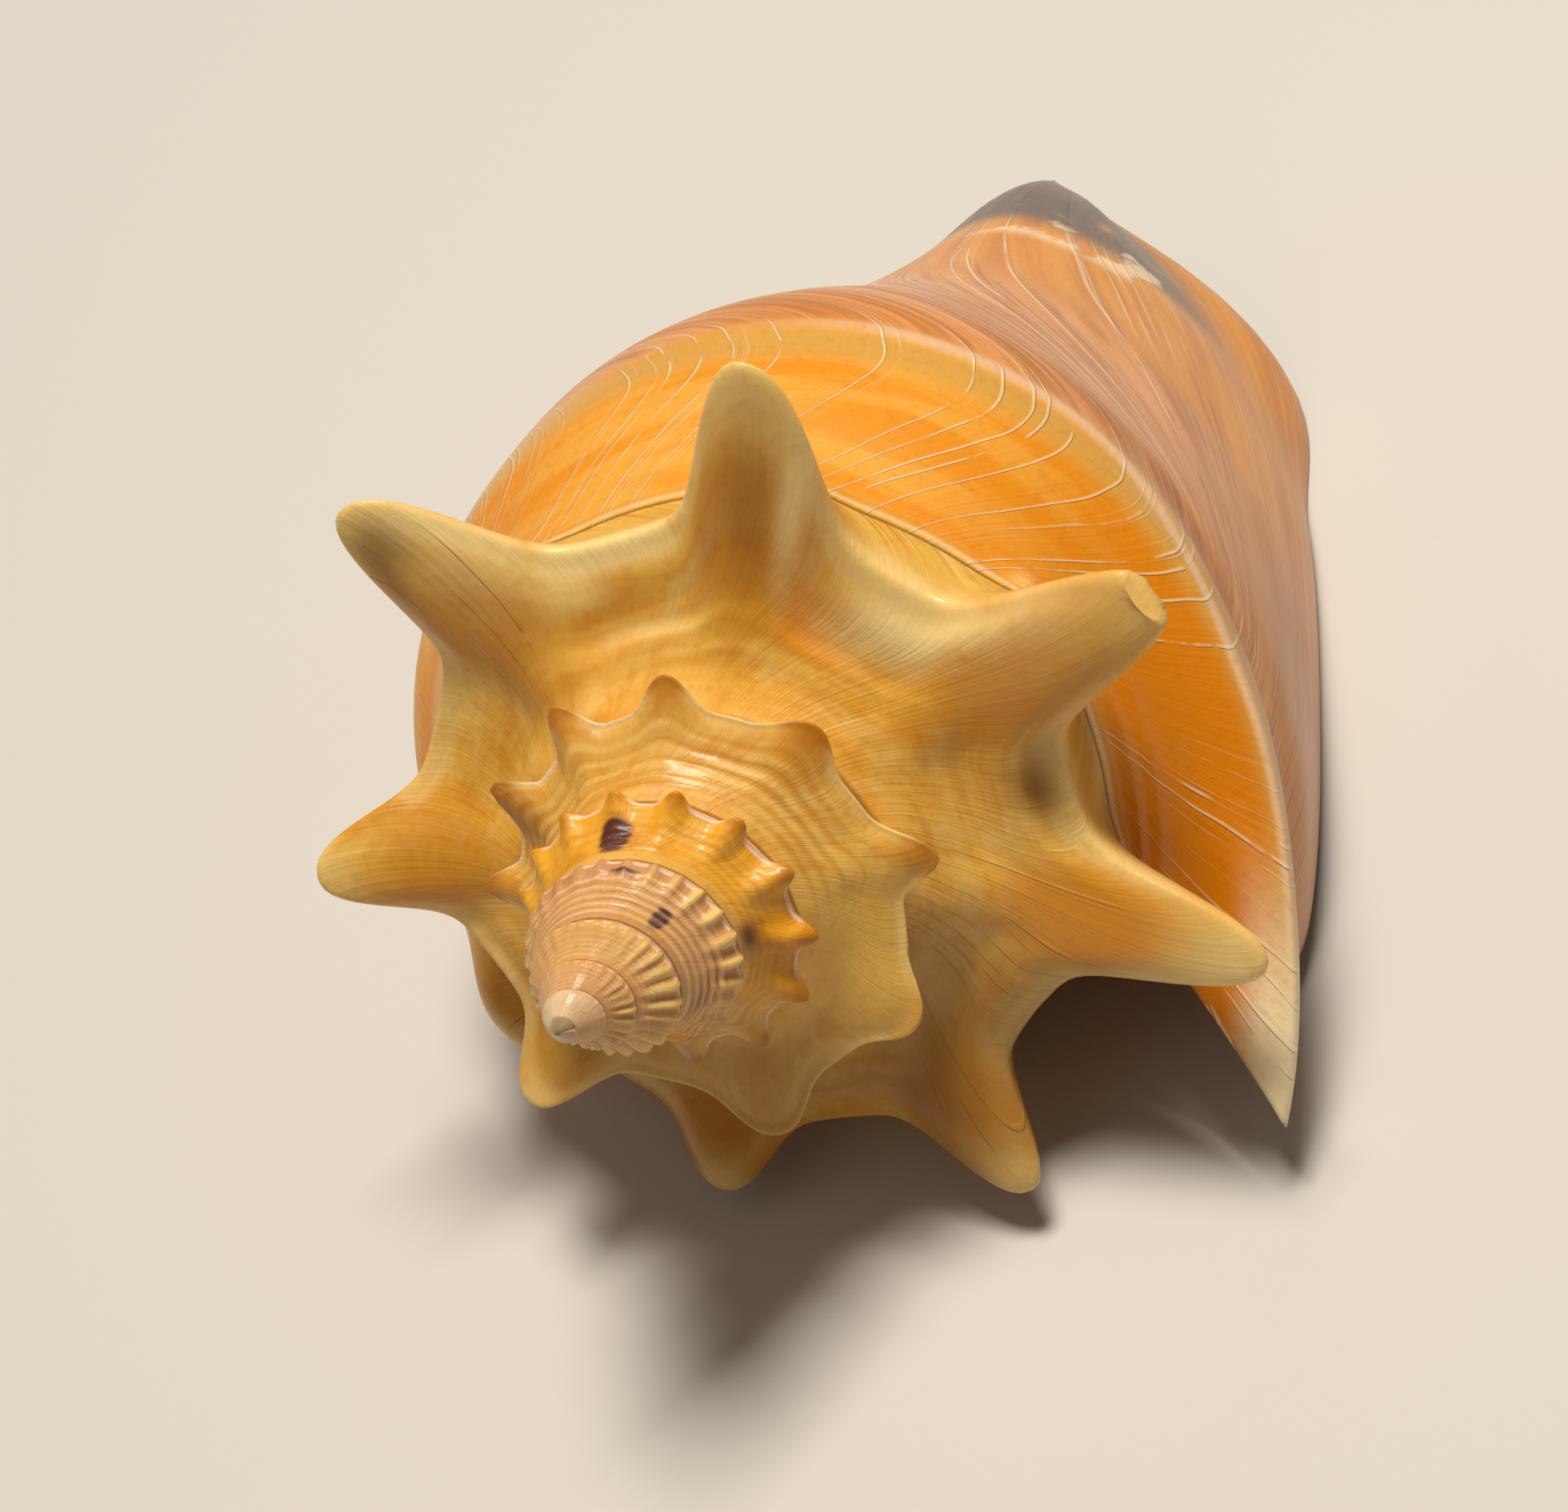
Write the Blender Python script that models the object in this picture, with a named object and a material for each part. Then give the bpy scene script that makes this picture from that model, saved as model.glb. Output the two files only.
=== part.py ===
"""Fighting conch shell, adult size, as one closed solid with an open aperture.

The shell is a right-handed spiral. It is worked out in its own growth frame, in millimetres: the coiling
axis down -Z from the origin, where the spire's tip would stand if the spire didn't lean. A place on the
outer surface has two numbers: the turn it was grown at, and its station along the whorl's profile, from the
suture over the shoulder keel to the anterior tip. The last step lays the shell on its aperture, as it rests on
a table.
"""
import math

import bmesh
import bpy
import numpy as np
from mathutils import Matrix, Vector

MM = 0.001
TAU = 2 * math.pi

# Turns are counted from the large dorsal spine, which stands at this azimuth
AZIMUTH_OF_TURN_0 = math.radians(174.8)
SPIRE_START = -3.75
BODY_START = 0.25

# Stations along a whorl's profile
SUTURE, MID_RAMP, KEEL, FOOT, SIDE, WAIST, BASE, RIM, TIP = 0, 0.5, 1.0, 1.2, 1.6, 2.1, 2.6, 3.1, 3.4
STATIONS = (SUTURE, MID_RAMP, KEEL, FOOT, SIDE, WAIST, BASE, RIM, TIP)

# Shoulder keel: turn, radius, depth below the apex
KEEL_PATH = [(-7.75, 0.15, 0), (-6.75, 0.9, 0.35), (-5.75, 1.76, 2.1), (-4.75, 2.71, 3.6), (-3.75, 4.2, 5.8),
             (-2.75, 5.75, 10), (-1.75, 7.4, 13.9), (-1.125, 9.4, 17.4), (-0.75, 11.3, 18.9),
             (-0.375, 14.3, 20.7), (0, 17.8, 23.2), (0.2, 18.6, 24.4), (0.44, 18.4, 26), (0.6, 20.2, 28),
             (0.75, 21.8, 31.5), (0.875, 22.9, 35), (1, 23.8, 38), (1.1, 24.9, 38.2), (1.2, 27.3, 35),
             (1.26, 30, 31.5), (1.31, 34, 27)]
# Foot of the shoulder, where the next whorl joins: turn, step inward from the keel, drop below it
FOOT_STEP = [(-5.75, 0.1, 0.2), (-3.75, 0.15, 0.5), (-1.75, 0.4, 1.1), (-0.5, 0.3, 1.9), (-0.2, -0.9, 2.5),
             (0, -1.2, 3), (0.12, -2, 3.3), (0.25, -1.2, 3.6), (0.4, -0.6, 3.6), (0.6, 0.3, 3.6),
             (0.85, -0.2, 3.5), (1, -0.3, 3.5), (1.1, 0.2, 3.5), (1.2, 1.2, 4), (1.31, 2.4, 5)]
# Body of the last whorl: turn, radius, depth
SIDE_PATH = [(0.31, 19.5, 33), (0.6, 21, 36), (0.85, 22.3, 41.5), (1, 23.2, 46.5), (1.1, 23.6, 46),
             (1.2, 25.6, 44), (1.26, 28, 42), (1.31, 31, 41)]
WAIST_PATH = [(0.31, 13, 45), (0.6, 14.5, 50), (0.85, 16.8, 54.5), (1, 18.8, 57), (1.1, 20, 57),
              (1.2, 22.8, 56.5), (1.26, 25.2, 55.5), (1.31, 27.8, 55)]
BASE_PATH = [(0.31, 5, 57), (0.6, 6.4, 63), (0.85, 9.3, 69), (1, 12.4, 70.5), (1.1, 14, 70), (1.2, 18, 69),
             (1.26, 21.2, 69), (1.31, 23.2, 69)]
RIM_PATH = [(0.31, 2.2, 69), (0.6, 3.4, 77), (0.85, 4.5, 81), (1, 5.4, 82), (1.1, 5.8, 82), (1.2, 9, 81),
            (1.26, 14.6, 81), (1.31, 18, 82)]
TIP_PATH = [(0.31, 0.6, 72), (0.6, 0.6, 80), (0.85, 0.6, 85.5), (1, 0.6, 87), (1.1, 0.6, 87),
            (1.31, 0.6, 87.3)]
# How far the ramp sags below a straight line, as a part of its width
RAMP_SAG = [(-5.75, 0), (-1.75, 0.03), (-0.75, 0.06), (0, 0.075), (0.4, 0.07), (0.8, -0.03), (1, -0.07),
            (1.2, -0.02), (1.31, 0.03)]
# Turn at which the outer lip ends, by station
LIP_EDGE = [(SUTURE, 1.25), (0.4, 1.287), (0.8, 1.307), (KEEL, 1.313), (FOOT, 1.31), (SIDE, 1.297),
            (WAIST, 1.28), (BASE, 1.271), (RIM, 1.272), (TIP, 1.28)]

# The spire leans a little, and most at the apex: its sideways shift there, and the depth where it ends
SPIRE_LEAN, LEAN_DEPTH = (-0.4, -1.0), 22.0
# The siphonal canal bends away from the axis, toward the dorsal side
CANAL_BEND, BEND_DEPTH, CANAL_DEPTH, BEND_POWER = 14.0, 50.0, 87.0, 1.7

# Spines: turn, length, lift toward the apex, half widths on the older and the younger side in eighths of a turn
SPINES = [(-0.674, 2.2, 0.2, 0.2, 0.2), (-0.549, 3.3, 0.2, 0.18, 0.2), (-0.42, 4.6, 1.7, 0.14, 0.17),
          (-0.281, 6.1, 3.8, 0.16, 0.2), (-0.133, 9.9, 4.3, 0.155, 0.19), (0.006, 11.4, 3.1, 0.13, 0.19),
          (0.136, 12.9, 3, 0.15, 0.15), (0.2575, 11.5, 1.2, 0.15, 0.14), (0.378, 7.7, 1.3, 0.13, 0.16),
          (0.499, 4.4, 2, 0.14, 0.16), (0.609, 2.2, 1.6, 0.18, 0.22)]
# A thin crest along the keel: turn, height; and its half width in stations
CREST_HEIGHT = [(-4, 0), (-2.4, 0.12), (-1.2, 0.3), (0.3, 0.45), (0.6, 0.2), (0.8, 0)]
CREST_WIDTH = 0.07
# Nodules of the spire: turn, nodules left to grow before the first spine; and turn, length
NODULES_LEFT = [(-6, 116), (-5, 90), (-4, 62), (-3, 36), (-2.24, 18), (-1.907, 13), (-1.76, 11), (-1.28, 5),
                (-1.023, 2), (-0.796, 0), (-0.7, -1)]
NODULE_LENGTH = [(-6, 0.03), (-4, 0.1), (-3, 0.2), (-2.4, 0.4), (-1.95, 1), (-1.7, 1.15), (-1.3, 2.5),
                 (-1.1, 2.3), (-0.9, 1.8), (-0.76, 2), (-0.72, 0)]
# A spine's section: a full flank, and a low flare round its root that is this much of its length
FLANK_STEEPNESS, FLANK_POWER, FLARE, FLARE_WIDTH = 0.69, 2.4, 0.18, 2.5
# How far spines and nodules reach over the ramp and below the keel, in stations, and how squarely
RAMP_REACH, RAMP_POWER, BELOW_REACH, BELOW_POWER = 0.34, 1.6, 0.13, 1.7
NODULE_SHARPNESS = 2.2
# A whorl starts on the relief of the one before: stations over which that fades, and its own relief grows
TAKEN_REACH, HELD_REACH = 0.35, 0.25
# Height of the spire's tip; the oldest whorls are a plain cone up to it
TIP_HEIGHT = 0.0

# Cavity
WALL, LIP_WALL, LIP_TAPER = 1.6, 0.8, 0.05
PARIETAL_GAP, PARIETAL_TOP = 0.4, 2.6
CAVITY_START, CAVITY_OVERSHOOT, CAVITY_ROUNDING, BLIND_END = 0.5, 0.05, 0.12, 0.02
CAVITY_TOP, CAVITY_FLOOR, KEEL_CLEARANCE = 0.3, 2.35, 0.05
CANAL_BEGINS, CANAL_OPEN = 0.95, 1.2
MARGIN_BEGINS, MARGIN_OPEN, MARGIN_EXIT = 1.15, 1.24, 5.0
PILLAR_DEPTH, PILLAR_END, PILLAR_RADIUS, PILLAR_TIP_RADIUS = 64, 76, 3.0, 0.3
# Siphonal canal: depth, radius; it lies beside the axis, on its ventral side
CANAL_BORE = [(60, 0.4), (66, 1.6), (72, 2.9), (79, 3.3), (84, 2.4), (87, 2.1), (93, 2.4)]
CANAL_AZIMUTH, CANAL_OFFSET = math.radians(20), 1.7

# Mesh
COLUMNS = 66
TIP_BLEND = 6
RAMP_ROWS = [0, 0.25, 0.5, 0.68, 0.82, 0.92, 1, 1.08, 1.2]
BODY_ROWS = [1.2, 1.4, 1.7, 2.1, 2.5, 2.8, 3.1, 3.25, 3.4]
CAVITY_STEPS, CAVITY_POINTS = 28, 13
CANAL_STEPS, CANAL_SIDES = 10, 16

# The growth frame's directions that point up and to +Y when the shell lies on its aperture
UP = Vector((-0.882, -0.103, 0.46))
BACK = Vector((0, 0, -1))


def curve(knots, x):
    """Smooth curve through (x, y) knots, straight beyond its ends."""
    kx = np.array([knot[0] for knot in knots], float)
    ky = np.array([knot[1] for knot in knots], float)
    x = np.asarray(x, float)
    return hermite(kx, ky.reshape((-1,) + (1,) * x.ndim) + np.zeros((1,) + x.shape), x)


def hermite(stations, values, x):
    """Cubic through values[i] at stations[i], read at x; a knot's slope is the mean of its neighbours'."""
    step = np.diff(stations)
    slope = np.diff(values, axis=0) / step.reshape((-1,) + (1,) * (values.ndim - 1))
    tangent = np.empty_like(values)
    tangent[0], tangent[-1] = slope[0], slope[-1]
    for j in range(1, len(stations) - 1):
        tangent[j] = (step[j] * slope[j - 1] + step[j - 1] * slope[j]) / (step[j] + step[j - 1])
    i = np.clip(np.searchsorted(stations, x, side="right") - 1, 0, len(step) - 1)
    place = tuple(np.indices(np.shape(x)))
    y0, y1 = values[(i,) + place], values[(i + 1,) + place]
    m0, m1 = tangent[(i,) + place] * step[i], tangent[(i + 1,) + place] * step[i]
    w = (x - np.asarray(stations)[i]) / step[i]
    u = np.clip(w, 0, 1)
    y = (1 + 2 * u) * (1 - u) ** 2 * y0 + u * u * (3 - 2 * u) * y1
    y = y + u * (1 - u) ** 2 * m0 + u * u * (u - 1) * m1
    return y + np.minimum(w, 0) * m0 + np.maximum(w - 1, 0) * m1


def path(table, t):
    """Radius and depth along a path table at turn t."""
    return curve([(row[0], row[1]) for row in table], t), curve([(row[0], row[2]) for row in table], t)


def foot(t):
    radius, depth = path(KEEL_PATH, t)
    inward, drop = path(FOOT_STEP, t)
    return radius - inward, depth + drop


def body(table, t):
    """A body path; before the last turn it shrinks with the keel."""
    start = table[0][0]
    radius, depth = path(table, np.maximum(t, start))
    keel_radius, keel_depth = path(KEEL_PATH, np.minimum(t, start))
    start_radius, start_depth = path(KEEL_PATH, np.full_like(t, start))
    size = keel_radius / start_radius
    early = t < start
    early_depth = keel_depth + (depth - start_depth) * size
    return np.where(early, radius * size, radius), np.where(early, early_depth, depth)


def profile(t, v):
    """Radius and depth of the bare whorl at turn t and station v."""
    suture_r, suture_z = foot(t - 1)
    keel_r, keel_z = path(KEEL_PATH, t)
    sag = curve(RAMP_SAG, t)
    dr, dz = keel_r - suture_r, keel_z - suture_z
    middle = (suture_r + 0.5 * dr - sag * dz, suture_z + 0.5 * dz + sag * dr)
    rings = [(suture_r, suture_z), middle, (keel_r, keel_z), foot(t)]
    rings += [body(table, t) for table in (SIDE_PATH, WAIST_PATH, BASE_PATH, RIM_PATH, TIP_PATH)]
    radius = np.stack([ring[0] for ring in rings])
    depth = np.stack([ring[1] for ring in rings])
    stations = np.array(STATIONS, float)
    return hermite(stations, radius, v), hermite(stations, depth, v)


def relief(t, y):
    """Outward and upward push of spines and nodules at turn t, y stations past the keel."""
    above = np.exp(-(np.abs(y) / RAMP_REACH) ** RAMP_POWER)
    ridge = np.where(y < 0, above, np.exp(-(np.abs(y) / BELOW_REACH) ** BELOW_POWER))
    out = np.zeros_like(t)
    up = np.zeros_like(t)
    for centre, length, lift, older, younger in SPINES:
        x = np.abs(t - centre) * 8 / np.where(t < centre, older, younger)
        flank = (1 - FLARE) * np.exp(-FLANK_STEEPNESS * x ** FLANK_POWER)
        shape = flank + FLARE * np.exp(-(x / FLARE_WIDTH) ** 2)
        out += length * shape * ridge
        up += lift * shape * ridge
    length = np.where(t < NODULE_LENGTH[-1][0], curve(NODULE_LENGTH, t), 0)
    out += length * (0.5 + 0.5 * np.cos(TAU * curve(NODULES_LEFT, t))) ** NODULE_SHARPNESS * ridge
    crest = np.clip(curve(CREST_HEIGHT, t), 0, None) * np.exp(-(y / CREST_WIDTH) ** 2)
    return out + crest, up + crest


def ornament(t, v):
    """The relief on a whorl, with what it takes over from the whorl before at its suture."""
    out, up = relief(t, v - KEEL)
    below_out, below_up = relief(t - 1, np.full_like(t, FOOT - KEEL))
    own_out, own_up = relief(t, np.full_like(t, SUTURE - KEEL))
    taken = np.clip(1 - v / TAKEN_REACH, 0, 1) ** 2
    held = np.clip(1 - v / HELD_REACH, 0, 1) ** 2
    return out + below_out * taken - own_out * held, up + below_up * taken - own_up * held


def place(t, radius, height):
    """Point in the growth frame from turn, radius and height, with the spire's lean and the canal's bend."""
    azimuth = AZIMUTH_OF_TURN_0 - TAU * t
    lean = np.clip(1 + height / LEAN_DEPTH, 0, 1)
    reach = np.clip((-height - BEND_DEPTH) / (CANAL_DEPTH - BEND_DEPTH), 0, 1.3)
    x = radius * np.cos(azimuth) + SPIRE_LEAN[0] * lean - CANAL_BEND * reach ** BEND_POWER
    y = radius * np.sin(azimuth) + SPIRE_LEAN[1] * lean
    return np.stack([x, y, height], -1)


def surface(t, v):
    """Points of the outer surface."""
    t, v = np.broadcast_arrays(np.asarray(t, float), np.asarray(v, float))
    radius, depth = profile(t, v)
    out, up = ornament(t, v)
    return place(t, radius + out, up - depth)


def lip_turn(v):
    return curve(LIP_EDGE, np.asarray(v, float))


def even(speed, count):
    """Samples of [0, 1], spaced evenly along the length whose speed is given on a fine grid."""
    length = np.concatenate([[0], np.cumsum(0.5 * (speed[1:] + speed[:-1]))])
    return np.interp(np.linspace(0, length[-1], count), length, np.linspace(0, 1, len(length)))


def columns(count):
    """Column places in one turn, closer together where a spine stands."""
    u = np.linspace(0, 1, 4000)
    speed = 0.02
    for start, span in ((BODY_START - 1, 1.0), (BODY_START, lip_turn(KEEL) - BODY_START)):
        ridge = surface(start + span * u, np.full_like(u, KEEL))
        speed = speed + np.linalg.norm(np.gradient(ridge, axis=0), axis=1)
    return even(speed, count + 1)


class Skin:
    """Vertices and faces gathered row by row, with shared edges."""

    def __init__(self):
        self.points = []
        self.faces = []

    def add(self, points):
        first = len(self.points)
        self.points.extend(map(tuple, points))
        return list(range(first, first + len(points)))

    def weave(self, a, b):
        """Quads between two rows of vertex numbers; where the rows share a corner, a triangle."""
        for i in range(len(a) - 1):
            ring = list(dict.fromkeys([a[i], a[i + 1], b[i + 1], b[i]]))
            if len(ring) > 2:
                self.faces.append(ring)

    def to_bmesh(self):
        bm = bmesh.new()
        verts = [bm.verts.new(point) for point in self.points]
        for ring in self.faces:
            bm.faces.new([verts[i] for i in ring])
        bmesh.ops.recalc_face_normals(bm, faces=bm.faces)
        return bm


def outer_solid(count, ramp_rows, body_rows):
    """The shell as a filled solid, closed across the aperture."""
    skin = Skin()
    u = columns(count)
    whorls = round(BODY_START - SPIRE_START)
    innermost = skin.add(surface(SPIRE_START + u, np.full_like(u, SUTURE)))
    first_column = None
    end_column = None
    suture = innermost
    # Each whorl's ramp and shoulder stand on the foot of the whorl before
    for whorl in range(whorls + 1):
        last = whorl == whorls
        start = SPIRE_START + whorl
        rows = [suture]
        for v in ramp_rows[1:]:
            t = start + u * ((lip_turn(v) - start) if last else 1.0)
            points = surface(t, np.full_like(u, v))
            if end_column:
                rows.append([end_column[len(rows)]] + skin.add(points[1:]))
            else:
                rows.append(skin.add(points))
        if whorl == 0:
            rows[-1][0] = rows[0][-1]
            first_column = [row[0] for row in rows]
        for a, b in zip(rows, rows[1:]):
            skin.weave(a, b)
        end_column = [row[-1] for row in rows]
        suture = rows[-1]
    apex = skin.add([place(0.0, 0.0, TIP_HEIGHT)])[0]
    loop = innermost + first_column[-2::-1]
    for a, b in zip(loop, loop[1:]):
        if a != b:
            skin.faces.append([a, b, apex])
    # Body below the foot of the shoulder
    rows = [suture]
    for v in body_rows[1:]:
        t = BODY_START + u * (lip_turn(v) - BODY_START)
        rows.append(skin.add(surface(t, np.full_like(u, v))))
    for a, b in zip(rows, rows[1:]):
        skin.weave(a, b)
    # Face across the aperture: from the whorl's first edge to the lip
    lip = end_column + [row[-1] for row in rows[1:]]
    root = [row[0] for row in rows]
    close_aperture(skin, root, lip, rows[-1])
    return skin


def close_aperture(skin, root, lip, tip):
    """Fills the loop of the first edge, the anterior tip and the lip with a patch of straight rulings."""
    points = np.array(skin.points)
    w = np.linspace(0, 1, len(lip))
    # The root has fewer vertices than the lip, so some of its own stand twice in the first column
    share = np.round(w * (len(root) - 1)).astype(int)
    previous = [root[i] for i in share]
    across = len(tip) - 1
    start = points[previous]
    end = points[lip]
    tip_line = points[tip]
    for j in range(1, across + 1):
        a = j / across
        if j == across:
            current = list(lip)
        else:
            row = (1 - a) * start + a * end
            miss = tip_line[j] - row[-1]
            row = row + (w[:, None] ** TIP_BLEND) * miss
            middle = skin.add(row[1:-1])
            current = [lip[0]] + middle + [tip[j]]
        skin.weave(previous, current)
        previous = current


def wall_at(t, v):
    """Wall thickness: full inside, thinning to the lip's edge."""
    near = np.clip((lip_turn(v) - t) / LIP_TAPER, 0, 1)
    return LIP_WALL + (WALL - LIP_WALL) * near * (2 - near)


def inset(radius, depth, distance):
    """Points moved inward by a distance from a profile that runs outward and down, then softened."""
    dr, dz = np.gradient(radius), np.gradient(depth)
    length = np.hypot(dr, dz)
    moved = np.stack([radius - distance * dz / length, depth + distance * dr / length])
    for _ in range(2):
        moved[:, 1:-1] = 0.25 * moved[:, :-2] + 0.5 * moved[:, 1:-1] + 0.25 * moved[:, 2:]
    return moved


def ease(x):
    x = np.clip(x, 0, 1)
    return x * x * (3 - 2 * x)


def cavity_ring(t, count):
    """Closed ring round the cavity at turn t: down inside the outer wall, back up along the whorl before."""
    opening = ease((t - CANAL_BEGINS) / (CANAL_OPEN - CANAL_BEGINS))
    w = np.linspace(0, 1, count)
    floor = CAVITY_FLOOR + (TIP - CAVITY_FLOOR) * opening
    v = CAVITY_TOP + (floor - CAVITY_TOP) * w
    radius, depth = profile(np.full_like(v, t), v)
    outer_r, outer_z = inset(radius, depth, wall_at(t, v))
    before = np.linspace(FOOT + KEEL_CLEARANCE, RIM, 60)
    before_r, before_z = profile(np.full_like(before, t - 1), before)
    top_z = before_z[0] + PARIETAL_TOP
    inner_z = top_z + (outer_z[-1] - top_z) * w
    low = ease((inner_z - PILLAR_DEPTH) / (PILLAR_END - PILLAR_DEPTH))
    pillar = PILLAR_RADIUS + (PILLAR_TIP_RADIUS - PILLAR_RADIUS) * low
    inner_r = np.maximum(np.interp(inner_z, before_z, before_r) + PARIETAL_GAP, pillar)
    outer_r = np.maximum(outer_r, inner_r[-1] + 1)
    exit_drop = ease((t - MARGIN_BEGINS) / (MARGIN_OPEN - MARGIN_BEGINS)) * MARGIN_EXIT * w ** 8
    radius = np.concatenate([outer_r, inner_r[::-1]])
    depth = np.concatenate([outer_z + exit_drop, (inner_z + exit_drop)[::-1]])
    return radius, depth


def cavity_solid(steps, count):
    """The hollow of the last whorl, from its blind inner end, which closes roundly, to beyond the lip."""
    skin = Skin()
    turns = np.linspace(CAVITY_START, lip_turn(KEEL) + CAVITY_OVERSHOOT, steps)
    rings = []
    for t in turns:
        radius, depth = cavity_ring(t, count)
        close = np.sqrt(np.clip((t - CAVITY_START) / CAVITY_ROUNDING, BLIND_END, 1))
        radius = radius.mean() + (radius - radius.mean()) * close
        depth = depth.mean() + (depth - depth.mean()) * close
        rings.append(skin.add(place(np.full_like(radius, t), radius, -depth)))
    for a, b in zip(rings, rings[1:]):
        skin.weave(a + a[:1], b + b[:1])
    for ring in (rings[0], rings[-1]):
        middle = skin.add([np.array(skin.points)[ring].mean(axis=0)])[0]
        for a, b in zip(ring, ring[1:] + ring[:1]):
            skin.faces.append([a, b, middle])
    return skin


def canal_solid(steps, sides):
    """The siphonal canal's hollow, a bore along the bent axis that leaves the shell at its anterior end."""
    skin = Skin()
    depths = np.linspace(CANAL_BORE[0][0], CANAL_BORE[-1][0], steps)
    around = TAU * np.arange(sides) / sides
    rings = []
    for depth, radius in zip(depths, curve(CANAL_BORE, depths)):
        x = CANAL_OFFSET * math.cos(CANAL_AZIMUTH) + radius * np.cos(around)
        y = CANAL_OFFSET * math.sin(CANAL_AZIMUTH) + radius * np.sin(around)
        turn = (AZIMUTH_OF_TURN_0 - np.arctan2(y, x)) / TAU
        rings.append(skin.add(place(turn, np.hypot(x, y), np.full_like(x, -depth))))
    for a, b in zip(rings, rings[1:]):
        skin.weave(a + a[:1], b + b[:1])
    skin.faces += [rings[0], rings[-1]]
    return skin


def add_object(name, skin):
    mesh = bpy.data.meshes.new(name)
    bm = skin.to_bmesh()
    bm.to_mesh(mesh)
    bm.free()
    obj = bpy.data.objects.new(name, mesh)
    bpy.context.scene.collection.objects.link(obj)
    return obj


def nacre_material():
    material = bpy.data.materials.new("shell")
    material.use_nodes = True
    shader = material.node_tree.nodes["Principled BSDF"]
    shader.inputs["Base Color"].default_value = (0.66, 0.36, 0.13, 1)
    shader.inputs["Roughness"].default_value = 0.35
    shader.inputs["Metallic"].default_value = 0
    return material


def rest_frame(points):
    """Matrix from the growth frame in millimetres to the part's frame in metres, at rest on the aperture."""
    up = UP.normalized()
    back = (BACK - up * BACK.dot(up)).normalized()
    side = back.cross(up)
    turn = Matrix((side, back, up))
    placed = points @ np.array(turn).T
    low, high = placed.min(axis=0), placed.max(axis=0)
    origin = Vector(((low[0] + high[0]) / 2, (low[1] + high[1]) / 2, low[2]))
    return Matrix.Scale(MM, 4) @ Matrix.Translation(-origin) @ turn.to_4x4()


def main():
    for old in list(bpy.data.objects):
        bpy.data.objects.remove(old)
    outer = outer_solid(COLUMNS, RAMP_ROWS, BODY_ROWS)
    hollows = {"cavity": cavity_solid(CAVITY_STEPS, CAVITY_POINTS),
               "canal": canal_solid(CANAL_STEPS, CANAL_SIDES)}
    frame = rest_frame(np.array(outer.points))
    for skin in [outer, *hollows.values()]:
        skin.points = [tuple(frame @ Vector(point)) for point in skin.points]
    shell = add_object("shell", outer)
    shell.data.materials.append(nacre_material())
    for name, skin in hollows.items():
        cutter = add_object(name, skin)
        cutter.hide_render = True
        cutter.display_type = "WIRE"
        hollow = shell.modifiers.new(name, "BOOLEAN")
        hollow.operation = "DIFFERENCE"
        hollow.solver = "EXACT"
        hollow.object = cutter


main()
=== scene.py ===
"""Fighting conch shell: the fine shell over the solid, its finish, the floor, the lights and the camera.

The shell's shape is the same helicospiral as the solid's, with many more columns and rows. It is worked out
in its own growth frame, in millimetres: the coiling axis down -Z from the origin, where the spire's tip would
stand if the spire didn't lean. A place on the outer surface has two numbers: the turn it was grown at, and
its station along the whorl's profile. Fine folds, cords and beads are added here, which the solid doesn't have.
"""
import math

import bmesh
import bpy
import numpy as np
from mathutils import Matrix, Vector
from mathutils.kdtree import KDTree


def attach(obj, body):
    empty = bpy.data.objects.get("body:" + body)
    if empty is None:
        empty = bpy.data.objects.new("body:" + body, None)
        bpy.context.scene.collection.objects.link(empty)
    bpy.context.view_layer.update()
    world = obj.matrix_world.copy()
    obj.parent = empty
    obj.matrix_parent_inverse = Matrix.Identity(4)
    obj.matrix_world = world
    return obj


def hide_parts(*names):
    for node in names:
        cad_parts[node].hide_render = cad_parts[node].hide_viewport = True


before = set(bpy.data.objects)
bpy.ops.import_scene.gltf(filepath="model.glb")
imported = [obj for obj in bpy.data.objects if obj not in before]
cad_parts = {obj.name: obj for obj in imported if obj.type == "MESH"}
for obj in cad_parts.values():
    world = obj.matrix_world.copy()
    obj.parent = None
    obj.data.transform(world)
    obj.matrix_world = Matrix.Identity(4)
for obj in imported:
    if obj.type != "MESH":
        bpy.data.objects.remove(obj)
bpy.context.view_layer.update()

MM = 0.001
TAU = 2 * math.pi

# Turns are counted from the large dorsal spine, which stands at this azimuth
AZIMUTH_OF_TURN_0 = math.radians(174.8)
BODY_START = 0.25

# Stations along a whorl's profile
SUTURE, MID_RAMP, KEEL, FOOT, SIDE, WAIST, BASE, RIM, TIP = 0, 0.5, 1.0, 1.2, 1.6, 2.1, 2.6, 3.1, 3.4
STATIONS = (SUTURE, MID_RAMP, KEEL, FOOT, SIDE, WAIST, BASE, RIM, TIP)

# Shoulder keel: turn, radius, depth below the apex
KEEL_PATH = [(-7.75, 0.15, 0), (-6.75, 0.9, 0.35), (-5.75, 1.76, 2.1), (-4.75, 2.71, 3.6), (-3.75, 4.2, 5.8),
             (-2.75, 5.75, 10), (-1.75, 7.4, 13.9), (-1.125, 9.4, 17.4), (-0.75, 11.3, 18.9),
             (-0.375, 14.3, 20.7), (0, 17.8, 23.2), (0.2, 18.6, 24.4), (0.44, 18.4, 26), (0.6, 20.2, 28),
             (0.75, 21.8, 31.5), (0.875, 22.9, 35), (1, 23.8, 38), (1.1, 24.9, 38.2), (1.2, 27.3, 35),
             (1.26, 30, 31.5), (1.31, 34, 27)]
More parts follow.
